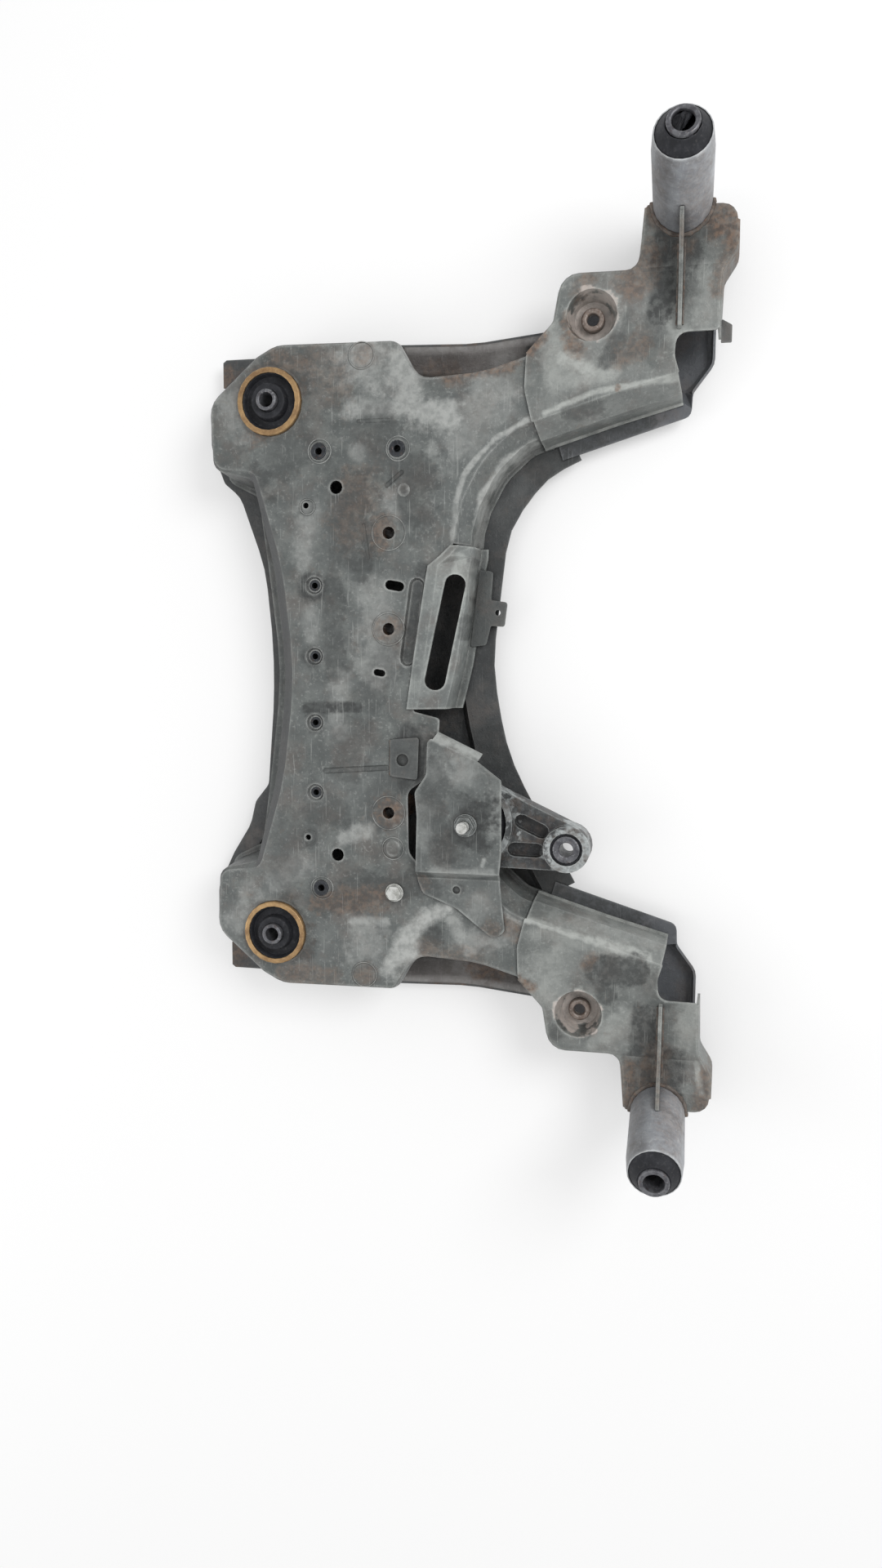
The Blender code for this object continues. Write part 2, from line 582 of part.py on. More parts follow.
def horn(side, s):
    at, lean = (HORN_X, s * HORN_Y, HORN_Z), s * HORN_LEAN
    floor = STEP + SHEET + GAP
    foot = (floor + TUBE_R * math.sin(HORN_LEAN) - HORN_Z) / math.cos(HORN_LEAN)
    inner, rim = TUBE_R - TUBE_WALL, TUBE_R - TUBE_NECK
    rim_bore, neck = rim - TUBE_WALL + 0.0011, TUBE_RIM - NECK_LENGTH
    turned(f"horn_tube_{side}",
           [(rim, TUBE_RIM - 0.0006), (TUBE_R, neck), (TUBE_R, foot), (inner, foot),
            (inner, neck), (rim_bore, TUBE_RIM), (rim - 0.0006, TUBE_RIM)],
           TUBE, at, ROUND, lean)
    hub, low = HORN_SLEEVE_R + GAP, TUBE_RIM - HORN_RUBBER_LENGTH
    turned(f"horn_rubber_{side}",
           [(hub + 0.0012, HORN_TIP - 0.004), (hub + 0.0035, HORN_TIP - 0.008),
            (rim_bore - GAP, TUBE_RIM - 0.0005), (inner - GAP, neck), (inner - GAP, low),
            (hub, low), (hub, HORN_TIP - 0.004)], RUBBER, at, ROUND, lean)
    turned(f"horn_sleeve_{side}",
           [(HORN_SLEEVE_R, HORN_TIP - 0.001), (HORN_SLEEVE_R, low - 0.006),
            (HORN_BORE_R, low - 0.006), (HORN_BORE_R, HORN_TIP - 0.001),
            (HORN_BORE_R + 0.001, HORN_TIP), (HORN_SLEEVE_R - 0.001, HORN_TIP)],
           STEEL, at, ROUND, lean)


def gusset(side, s):
    """Upright rib between the arm's deck and the inner face of its tube."""
    thick, x = 0.004, HORN_X - 0.002

    def reach(level):
        return horn_axis(level) - (TUBE_R + 2 * GAP) / math.cos(HORN_LEAN)

    foot, top = ARM_Z + GAP, HORN_RIB_TOP
    meet = reach(HORN_Z)
    side_view = [(RISE_FROM - 0.059, foot), (RISE_FROM, foot), (meet, foot + climb(meet)),
                 (reach(top), top), (reach(top) - 0.010, top - 0.004),
                 (RISE_FROM - 0.007, foot + 0.025), (RISE_FROM - 0.043, foot + 0.012),
                 (RISE_FROM - 0.057, foot + 0.007)]
    bm = bmesh.new()
    near = [bm.verts.new((x, s * y, z)) for y, z in side_view]
    far = [bm.verts.new((x + thick, s * y, z)) for y, z in side_view]
    bm.faces.new(near)
    bm.faces.new(far[::-1])
    for j in range(len(near)):
        m = (j + 1) % len(near)
        bm.faces.new((near[m], near[j], far[j], far[m]))
    bmesh.ops.recalc_face_normals(bm, faces=bm.faces)
    new_object(f"horn_gusset_{side}", bm, TUBE)


def rear_bush(side, s):
    at = (REAR_X, s * REAR_Y)
    inner = REAR_R - REAR_WALL
    low = FLOOR_TOP + 0.004
    turned(f"rear_bush_ring_{side}",
           [(REAR_R, REAR_TOP - 0.001), (REAR_R, low), (inner, low),
            (inner, REAR_TOP - REAR_WALL), (REAR_R - REAR_LIP, REAR_TOP - REAR_WALL),
            (REAR_R - REAR_LIP, REAR_TOP), (REAR_R - 0.001, REAR_TOP)], GOLD, at, ROUND)
    r, hub = inner - GAP, REAR_SLEEVE_R + GAP
    lip = REAR_TOP - REAR_WALL - GAP
    turned(f"rear_bush_rubber_{side}",
           [(REAR_HUB_R - 0.001, REAR_TOP + 0.002), (REAR_HUB_R, REAR_TOP + 0.001),
            (REAR_HUB_R + 0.0015, DECK_Z - 0.002), (REAR_R - REAR_LIP - 0.003, DECK_Z - 0.003),
            (REAR_R - REAR_LIP - 0.0005, lip - 0.001), (r, lip - 0.001), (r, low + 0.003),
            (hub, low + 0.003), (hub, REAR_TOP + 0.002)], RUBBER, at, ROUND)
    turned(f"rear_bush_sleeve_{side}",
           [(REAR_SLEEVE_R, REAR_SLEEVE_TOP - 0.001), (REAR_SLEEVE_R, low - 0.003),
            (REAR_BORE_R, low - 0.003), (REAR_BORE_R, REAR_SLEEVE_TOP - 0.001),
            (REAR_BORE_R + 0.001, REAR_SLEEVE_TOP), (REAR_SLEEVE_R - 0.001, REAR_SLEEVE_TOP)],
           STEEL, at, ROUND)
    bore, outer = REAR_R + GAP, REAR_R + GAP + HOUSING_WALL
    top, foot = DECK_Z - SHEET - GAP, FLOOR_TOP + GAP
    turned(f"rear_bush_housing_{side}", [(outer, top), (outer, foot), (bore, foot), (bore, top)],
           DARK, at, ROUND)


def slot_reinforcement():
    """Stamping that closes the deck's front edge, with a long slot along its slope."""
    rows = [(0.1335, 0.0020, 0.0110, 0.0215), (0.1230, -0.0090, 0.0020, 0.0212),
            (0.1130, -0.0215, -0.0110, 0.0190), (0.0860, -0.0260, -0.0145, 0.0160),
            (0.0460, -0.0320, -0.0205, 0.0110), (0.0110, -0.0372, -0.0257, 0.0058),
            (-0.0170, -0.0412, -0.0297, -0.0008), (-0.0360, -0.0438, -0.0325, -0.0055)]
    bm = bmesh.new()
    grid = []
    for y, left, bend, trim in rows:
        line = [(left, ARM_Z), (bend, ARM_Z), (trim, TRIM_Z), (trim + 0.0022, TRIM_Z - 0.005),
                (trim + 0.0040, ARM_RIM), (trim + 0.0120, ARM_RIM)]
        grid.append([bm.verts.new((x, y, z)) for x, z in line])
    for a, b in zip(grid, grid[1:]):
        for j in range(len(a) - 1):
            bm.faces.new((a[j], b[j], b[j + 1], a[j + 1]))
    bm.normal_update()
    if bm.faces[:][0].normal.z < 0:
        bmesh.ops.reverse_faces(bm, faces=bm.faces)
    made = new_object("slot_reinforcement", bm, PAINT)
    thicken(made)
    points = racetrack(SLOT_A, SLOT_B, SLOT_R, 8)
    boolean(made, joined("slot", [frustum(points, DECK_Z + 0.02, points, 0.03)]), "DIFFERENCE")
    return made


def plate(name, outline, z0, z1, look, holes=()):
    points = rounded(outline)
    made = new_object(name, frustum(points, z1, points, z0), look)
    if holes:
        boolean(made, joined(name + "_holes", [hole(x, y, r, z0 - 0.01, z1 + 0.01, 16)
                                               for x, y, r in holes]), "DIFFERENCE")
    return made


def brackets():
    plate("weld_nut_bracket", [(-0.0615, -0.0685, 0.003), (-0.0300, -0.0655, 0.003),
                               (-0.0315, -0.1110, 0.003), (-0.0615, -0.1075, 0.003)],
          DECK_Z + GAP, DECK_Z + GAP + 0.003, DARK, [(-0.048, -0.090, 0.0065)])
    level = ARM_RIM + GAP
    plate("clip_bracket", [(0.0245, 0.1120, 0.002), (0.0390, 0.1100, 0.003),
                           (0.0370, 0.0800, 0.002), (0.0550, 0.0775, 0.003),
                           (0.0520, 0.0515, 0.003), (0.0370, 0.0525, 0.002),
                           (0.0320, 0.0320, 0.003), (0.0150, 0.0300, 0.002)],
          level, level + 0.0016, DARK, [(0.0445, 0.0665, 0.003)])
    plate("arm_tab_bracket", placed(HORN_X, HORN_Y, [
        (0.0397, -0.1025, 0.001), (0.0500, -0.1085, 0.002), (0.0500, -0.1245, 0.001),
        (0.0397, -0.1245, 0.001)]), ARM_Z - 0.012, ARM_Z - 0.009, DARK)


def cover_plate():
    """Plate bridging the rod's pocket; its foot steps down onto the deck."""
    outline = [(-0.0320, -0.1225, 0.008), (-0.0195, -0.1040, 0.012), (-0.0185, -0.0700, 0.003),
               (-0.0150, -0.0655, 0.003),
               (0.0350, -0.0890, 0.003), (0.0480, -0.0990, 0.006), (0.0600, -0.1080, 0.004),
               (0.0610, -0.1840, 0.020), (0.0580, -0.2180, 0.010), (0.0640, -0.2700, 0.006),
               (0.0520, -0.2790, 0.010), (0.0110, -0.2470, 0.020), (-0.0250, -0.2330, 0.008),
               (-0.0310, -0.2180, 0.008), (-0.0295, -0.1480, 0.020)]
    bm = bmesh.new()
    verts = [bm.verts.new((p.x, p.y, 0)) for p in rounded(outline)]
    bm.faces.new(verts)
    bisected(bm, PLATE_FOOT)
    high, low = PLATE_Z, DECK_Z + STEP
    for v in bm.verts:
        t = (PLATE_FOOT[0] - v.co.y) / (PLATE_FOOT[0] - PLATE_FOOT[1])
        v.co.z = high + (low - high) * min(1, max(0, t))
    bm.normal_update()
    if bm.faces[:][0].normal.z < 0:
        bmesh.ops.reverse_faces(bm, faces=bm.faces)
    edge = [e for e in bm.edges if len(e.link_faces) == 1 and e.calc_length() > 0.030
            and all(-0.095 < v.co.y < -0.060 for v in e.verts)]
    turned_lip = bmesh.ops.extrude_edge_only(bm, edges=edge)
    for v in [g for g in turned_lip["geom"] if isinstance(g, bmesh.types.BMVert)]:
        v.co += Vector((0.0040, 0.0075, -0.0100))
    made = new_object("mount_cover_plate", bm, PAINT)
    thicken(made)
    boolean(made, joined("plate_holes", [hole(ROD_X, ROD_Y, ROD_BOLT_R + 0.0004, 0.06, 0.12, 16),
                                         hole(0.0115, -0.2275, 0.0042, 0.06, 0.12, 12)]),
            "DIFFERENCE")
    return made


def torque_rod():
    """Cast link: a large ring and a small eye joined by a web with cored pockets."""
    bm = frustum(circle(ROD_X, ROD_Y, ROD_R, 40), ROD_Z1, circle(ROD_X, ROD_Y, ROD_R, 40), ROD_Z0)
    made = new_object("torque_rod_body", bm, CAST)
    eye = circle(EYE_X, EYE_Y, EYE_R, 24)
    lean = Vector((EYE_X - ROD_X, EYE_Y - ROD_Y)).normalized()
    across = Vector((-lean.y, lean.x))
    big, small = Vector((ROD_X, ROD_Y)), Vector((EYE_X, EYE_Y))
    tip = (ROD_R - EYE_R) / (small - big).length
    up, down = (lean * tip + across * k * math.sqrt(1 - tip * tip) * 0.99 for k in (1, -1))
    web = [big + up * ROD_R, small + up * EYE_R, small + down * EYE_R, big + down * ROD_R]
    mid_z = (ROD_Z0 + ROD_Z1) / 2
    boolean(made, joined("rod_eye", [frustum(eye, EYE_Z1, eye, EYE_Z0)]), "UNION")
    boolean(made, joined("rod_web", [frustum(web, ROD_Z1 - 0.008, web, ROD_Z0 + 0.008)]), "UNION")
    pockets = []
    for t0, t1, w in ((0.50, 0.72, 0.0125),):
        for z0, z1 in ((mid_z + 0.004, 0.1), (-0.01, mid_z - 0.004)):
            for k in (1, -1):
                a = big.lerp(small, t0) + across * k * (w + 0.003)
                b = big.lerp(small, t1) + across * k * (w - 0.002)
                pocket = racetrack(a, b, 0.0075, 5)
                pockets.append(frustum(pocket, z1, pocket, z0))
    boolean(made, joined("rod_pockets", pockets), "DIFFERENCE")
    bores = [hole(ROD_X, ROD_Y, ROD_R - ROD_WALL, 0, 0.12, 32),
             hole(EYE_X, EYE_Y, EYE_BORE_R, 0, 0.12, 20)]
    boolean(made, joined("rod_bores", bores), "DIFFERENCE")
    at = (ROD_X, ROD_Y)
    r, hub = ROD_R - ROD_WALL - GAP, ROD_CORE_R + GAP
    turned("rod_rubber_large", [(r, ROD_Z1 - 0.005), (r, ROD_Z0 + 0.005), (hub, ROD_Z0 + 0.005),
                                (hub, ROD_Z1 - 0.005)], RUBBER, at, ROUND)
    seat, under = SEAT_RISE + SHEET + GAP, PLATE_Z - SHEET - GAP
    bore = ROD_BOLT_R + GAP
    turned("rod_core_large", [(ROD_CORE_R, under), (ROD_CORE_R, seat), (bore, seat),
                              (bore, under)], STEEL, at, 24)
    at = (EYE_X, EYE_Y)
    r, hub = EYE_BORE_R - GAP, EYE_CORE_R + GAP
    turned("rod_rubber_small", [(r, EYE_Z1 - 0.002), (r, EYE_Z0 + 0.002), (hub, EYE_Z0 + 0.002),
                                (hub, EYE_Z1 - 0.002)], RUBBER, at, 20)
    turned("rod_core_small", [(EYE_CORE_R, EYE_Z1), (EYE_CORE_R, EYE_Z0 - 0.001),
                              (EYE_HOLE_R, EYE_Z0 - 0.001), (EYE_HOLE_R, EYE_Z1),
                              (EYE_HOLE_R + 0.001, EYE_Z1 + 0.001),
                              (EYE_CORE_R - 0.001, EYE_Z1 + 0.001)], STEEL, at, 20)
    return made


def hexagon(r):
    return [Vector((r * math.cos(math.radians(60 * k)), r * math.sin(math.radians(60 * k))))
            for k in range(6)]


def rod_fixing():
    """Through bolt of the rod's large bush, and the flanged nut on the cover plate."""
    head_top = SEAT_RISE - GAP
    head = [p + Vector((ROD_X, ROD_Y)) for p in hexagon(0.0104)]
    made = new_object("torque_rod_bolt", frustum(head, head_top, head, head_top - 0.0080), BRIGHT)
    shank = circle(ROD_X, ROD_Y, ROD_BOLT_R, 16)
    tip = PLATE_Z + 0.024
    small = circle(ROD_X, ROD_Y, ROD_BOLT_R - 0.0008, 16)
    boolean(made, joined("rod_shank", [frustum(shank, tip - 0.001, shank, head_top - 0.004)]),
            "UNION")
    boolean(made, joined("rod_tip", [frustum(small, tip, small, tip - 0.004)]), "UNION")
    foot = PLATE_Z + GAP
    nut = [p + Vector((ROD_X, ROD_Y)) for p in hexagon(0.0104)]
    flange = circle(ROD_X, ROD_Y, 0.0122, 24)
    made = new_object("torque_rod_nut", frustum(flange, foot + 0.0022, flange, foot), STEEL)
    boolean(made, joined("nut_hex", [frustum(nut, foot + 0.0105, nut, foot + 0.0010)]), "UNION")
    boolean(made, joined("nut_bore", [hole(ROD_X, ROD_Y, ROD_BOLT_R + GAP, 0.05, 0.15, 16)]),
            "DIFFERENCE")


def deck_fixings():
    under = DECK_Z - SHEET - GAP
    for name, at in NUT_SPOTS.items():
        turned(f"collar_nut_{name}",
               [(NUT_R, DECK_Z + 0.0010), (NUT_R, under), (NUT_R + 0.004, under),
                (NUT_R + 0.004, under - 0.008), (NUT_HOLE_R, under - 0.008),
                (NUT_HOLE_R, DECK_Z + 0.0002), (NUT_HOLE_R + 0.0012, DECK_Z + 0.0010)],
               DARK, at, 14)
    low = DECK_Z - DIMPLE_DEPTH
    for name, y in STUD_SPOTS.items():
        turned(f"threaded_insert_{name}",
               [(STUD_R, low + 0.0004), (STUD_R, low - SHEET - GAP),
                (STUD_R + 0.002, low - SHEET - GAP), (STUD_R + 0.002, low - 0.011),
                (STUD_HOLE_R, low - 0.011), (STUD_HOLE_R, low + 0.0004)], DARK, (STUD_X, y), 12)
    foot, top = FLOOR_TOP + GAP, DECK_Z - SHEET - GAP
    for name, y in (("left", RACK_Y), ("middle", RACK_MID_Y), ("right", -RACK_Y)):
        turned(f"rack_spacer_{name}", [(RACK_TUBE_R, top), (RACK_TUBE_R, foot),
                                       (RACK_HOLE_R, foot), (RACK_HOLE_R, top)],
               RUSTY, (RACK_X, y), 16)
    foot = DECK_Z + GAP
    head = [p + Vector(BOLT_SPOT) for p in hexagon(0.0083)]
    flange = circle(*BOLT_SPOT, 0.0100, 20)
    made = new_object("deck_bolt", frustum(flange, foot + 0.0018, flange, foot), BRIGHT)
    boolean(made, joined("bolt_hex", [frustum(head, foot + 0.0065, head, foot + 0.0008)]),
            "UNION")
    shank = circle(*BOLT_SPOT, 0.0050, 12)
    boolean(made, joined("bolt_shank", [frustum(shank, foot + 0.001, shank, foot - 0.022)]),
            "UNION")
    for side, s in SIDES:
        low = ARM_Z - CUP_DEPTH + GAP
        r = CUP_NUT_R
        turned(f"control_arm_nut_{side}",
               [(r - 0.0012, low + CUP_NUT_H), (r, low + CUP_NUT_H - 0.0014), (r, low),
                (0.0062, low), (0.0062, low + CUP_NUT_H - 0.001),
                (0.0074, low + CUP_NUT_H)], STEEL, (CUP_X, s * CUP_Y), 18)


upper_shell()
lower_shell()
for side, s in SIDES:
    arm_upper(side, s)
    arm_lower(side, s)
    horn(side, s)
    gusset(side, s)
    rear_bush(side, s)
slot_reinforcement()
brackets()
cover_plate()
torque_rod()
rod_fixing()
deck_fixings()
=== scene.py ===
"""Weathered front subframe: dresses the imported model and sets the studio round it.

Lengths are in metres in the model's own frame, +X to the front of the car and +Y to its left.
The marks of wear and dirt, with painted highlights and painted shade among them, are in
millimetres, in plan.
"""
import json
import math

import bmesh
import bpy
from mathutils import Matrix, Vector
from mathutils.bvhtree import BVHTree

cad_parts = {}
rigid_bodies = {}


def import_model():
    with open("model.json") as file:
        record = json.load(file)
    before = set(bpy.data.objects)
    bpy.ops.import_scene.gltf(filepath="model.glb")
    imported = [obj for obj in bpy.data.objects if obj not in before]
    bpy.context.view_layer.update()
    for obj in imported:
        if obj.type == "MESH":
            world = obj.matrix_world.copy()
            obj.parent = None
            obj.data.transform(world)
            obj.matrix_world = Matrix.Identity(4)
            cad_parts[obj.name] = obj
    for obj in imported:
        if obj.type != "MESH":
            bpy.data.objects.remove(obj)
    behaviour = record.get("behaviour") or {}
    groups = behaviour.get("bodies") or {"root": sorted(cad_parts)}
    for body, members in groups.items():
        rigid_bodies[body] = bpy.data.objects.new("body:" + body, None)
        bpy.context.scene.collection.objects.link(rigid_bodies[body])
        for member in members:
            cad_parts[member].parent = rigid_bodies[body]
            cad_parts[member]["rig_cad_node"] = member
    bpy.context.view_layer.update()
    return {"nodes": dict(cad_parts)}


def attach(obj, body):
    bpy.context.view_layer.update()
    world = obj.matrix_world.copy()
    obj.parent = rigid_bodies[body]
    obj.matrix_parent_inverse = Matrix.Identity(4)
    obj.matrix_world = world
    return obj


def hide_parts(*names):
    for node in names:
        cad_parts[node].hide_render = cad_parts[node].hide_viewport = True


bl_info = {
    "name": "Weathered Subframe",
    "version": (1, 1, 0),
    "blender": (4, 5, 0),
    "location": "View3D > Sidebar > Subframe",
    "description": "Bends, finishes, welds, wear and the studio for a front subframe",
    "category": "Object",
}

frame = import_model()
NODES = frame["nodes"]
SIDES = (("left", 1), ("right", -1))
MM = 0.001
SHEET = 0.0025  # thickness of the pressings
DECK_TOP = 0.075  # height of the upper pressing's flat top


# Colours, nodes and masks

def linear(code):
    """sRGB hex value as the linear colour that a shader takes."""
    parts = [int(code[i:i + 2], 16) / 255 for i in (1, 3, 5)]
    return (*(c / 12.92 if c <= 0.04045 else ((c + 0.055) / 1.055) ** 2.4 for c in parts), 1)


def node(tree, kind, links=None, out=0, **settings):
    """Adds a shader node and gives one of its outputs. Settings are its properties; links are its
    inputs' values, hex colours or the sockets that feed them."""
    made = tree.nodes.new(kind)
    for key, value in settings.items():
        setattr(made, key, value)
    for key, value in (links or {}).items():
        if isinstance(value, bpy.types.NodeSocket):
            tree.links.new(value, made.inputs[key])
        else:
            made.inputs[key].default_value = linear(value) if isinstance(value, str) else value
    return made.outputs[out]


def finish(name, rough, metallic=0.0):
    """Starts a material: itself, its tree, its shader and its object coordinates."""
    material = bpy.data.materials.new(name)
    material.use_nodes = True
    shader = material.node_tree.nodes["Principled BSDF"]
    shader.inputs["Roughness"].default_value = rough
    shader.inputs["Metallic"].default_value = metallic
    place = node(material.node_tree, "ShaderNodeTexCoord", out="Object")
    return material, material.node_tree, shader, place


def blotches(tree, place, size, low, high, detail=6.0, rough=0.6):
    """Cloudy mask with clouds about size metres wide: 0 below low, 1 above high."""
    cloud = node(tree, "ShaderNodeTexNoise", {"Vector": place, "Scale": 1 / size,
                                              "Detail": detail, "Roughness": rough})
    return node(tree, "ShaderNodeMapRange", {"Value": cloud, "From Min": low, "From Max": high},
                interpolation_type="SMOOTHSTEP")


def coats(tree, colour, layers):
    """Lays colours over the first one; a layer is (mask, share, colour)."""
    for mask, share, above in layers:
        amount = node(tree, "ShaderNodeMath", {0: mask, 1: share}, operation="MULTIPLY",
                      use_clamp=True)
        colour = node(tree, "ShaderNodeMix", {0: amount, 6: colour, 7: above}, 2,
                      data_type="RGBA")
    return colour


def bends(tree, radius, low=0.03, high=0.16):
    """1 on edges and bends that are sharper than radius."""
    rounded = node(tree, "ShaderNodeBevel", {"Radius": radius}, samples=4)
    flat = node(tree, "ShaderNodeNewGeometry", out="True Normal")
    along = node(tree, "ShaderNodeVectorMath", {0: rounded, 1: flat}, "Value",
                 operation="DOT_PRODUCT")
    return node(tree, "ShaderNodeMapRange",
                {"Value": along, "From Min": 1 - low, "From Max": 1 - high})


def corners(tree, distance):
    """1 deep in corners and pockets, 0 in the open."""
    open_sky = node(tree, "ShaderNodeAmbientOcclusion", {"Distance": distance}, "AO", samples=6)
    return node(tree, "ShaderNodeMapRange",
                {"Value": open_sky, "From Min": 0.85, "From Max": 0.35},
                interpolation_type="SMOOTHSTEP")


def plan_distance(tree, flat, x, y, x2=None, y2=None):
    """Distance in plan to a point, or to the line between two points, all in mm."""
    a = Vector((x * MM, y * MM, 0))
    if x2 is None:
        return node(tree, "ShaderNodeVectorMath", {0: flat, 1: a}, "Value", operation="DISTANCE")
    run = Vector((x2 * MM, y2 * MM, 0)) - a
    start = node(tree, "ShaderNodeVectorMath", {0: flat, 1: a}, operation="SUBTRACT")
    along = node(tree, "ShaderNodeVectorMath", {0: start, 1: run / run.length_squared}, "Value",
                 operation="DOT_PRODUCT")
    held = node(tree, "ShaderNodeClamp", {"Value": along})
    foot = node(tree, "ShaderNodeVectorMath", {0: run, "Scale": held}, operation="SCALE")
    return node(tree, "ShaderNodeVectorMath", {0: start, 1: foot}, "Value", operation="DISTANCE")


def strokes(tree, place, marks, ragged, grain, core=0.3):
    """Mask of ragged marks, which falls from a mark's strength in its core to 0 at its radius.
    Marks wider than narrow wander off their line, and all of them are thinner in places."""
    narrow, wander = 11, 3.2
    cloud = node(tree, "ShaderNodeTexNoise", {"Vector": place, "Scale": 1 / grain, "Detail": 6.0,
                                              "Roughness": 0.65})
    shake = node(tree, "ShaderNodeMath", {0: cloud, 1: 2 * ragged, 2: -ragged},
                 operation="MULTIPLY_ADD")
    flat = node(tree, "ShaderNodeVectorMath", {0: place, 1: (1, 1, 0)}, operation="MULTIPLY")
    drift = node(tree, "ShaderNodeTexNoise", {"Vector": place, "Scale": 1 / 0.024, "Detail": 4.0,
                                              "Roughness": 0.6}, "Color")
    drift = node(tree, "ShaderNodeVectorMath", {0: drift, 1: (0.5, 0.5, 0.5)},
                 operation="SUBTRACT")
    total = None
    for strength, radius, *ends in marks:
        sway = max(0.0, radius - narrow) * wander * MM
        moved = node(tree, "ShaderNodeVectorMath", {0: drift, 1: (sway, sway, 0), 2: flat},
                     operation="MULTIPLY_ADD")
        away = plan_distance(tree, moved, *ends)
        away = node(tree, "ShaderNodeMath", {0: shake, 1: radius * MM, 2: away},
                    operation="MULTIPLY_ADD")
        mask = node(tree, "ShaderNodeMapRange",
                    {"Value": away, "From Min": radius * MM, "From Max": radius * core * MM,
                     "To Max": strength}, interpolation_type="SMOOTHSTEP")
        if total is not None:
            mask = node(tree, "ShaderNodeMath", {0: total, 1: mask}, operation="MAXIMUM")
        total = mask
    thin = blotches(tree, place, grain * 0.55, 0.36, 0.60)
    thin = node(tree, "ShaderNodeMath", {0: thin, 1: 0.4, 2: 0.6}, operation="MULTIPLY_ADD")
    return node(tree, "ShaderNodeMath", {0: total, 1: thin}, operation="MULTIPLY")


def relief(tree, place, shapes):
    """Height in metres of stamped forms: rings of a radius, round domes and long bars."""
    flat = node(tree, "ShaderNodeVectorMath", {0: place, 1: (1, 1, 0)}, operation="MULTIPLY")
    total = None
    for kind, height, radius, *ends in shapes:
        away = plan_distance(tree, flat, *ends)
        if kind == "ring":
            away = node(tree, "ShaderNodeMath", {0: away, 1: radius * MM}, operation="SUBTRACT")
            away = node(tree, "ShaderNodeMath", {0: away}, operation="ABSOLUTE")
            outer, inner = 1.6, 0.3
        elif kind == "dome":
            outer, inner = radius, radius * 0.1
        else:
            outer, inner = radius * 1.2, radius * 0.6
        shape = node(tree, "ShaderNodeMapRange",
                     {"Value": away, "From Min": outer * MM, "From Max": inner * MM,
                      "To Max": height * MM}, interpolation_type="SMOOTHSTEP")
        if total is not None:
            shape = node(tree, "ShaderNodeMath", {0: total, 1: shape}, operation="ADD")
        total = shape
    return total


# Materials

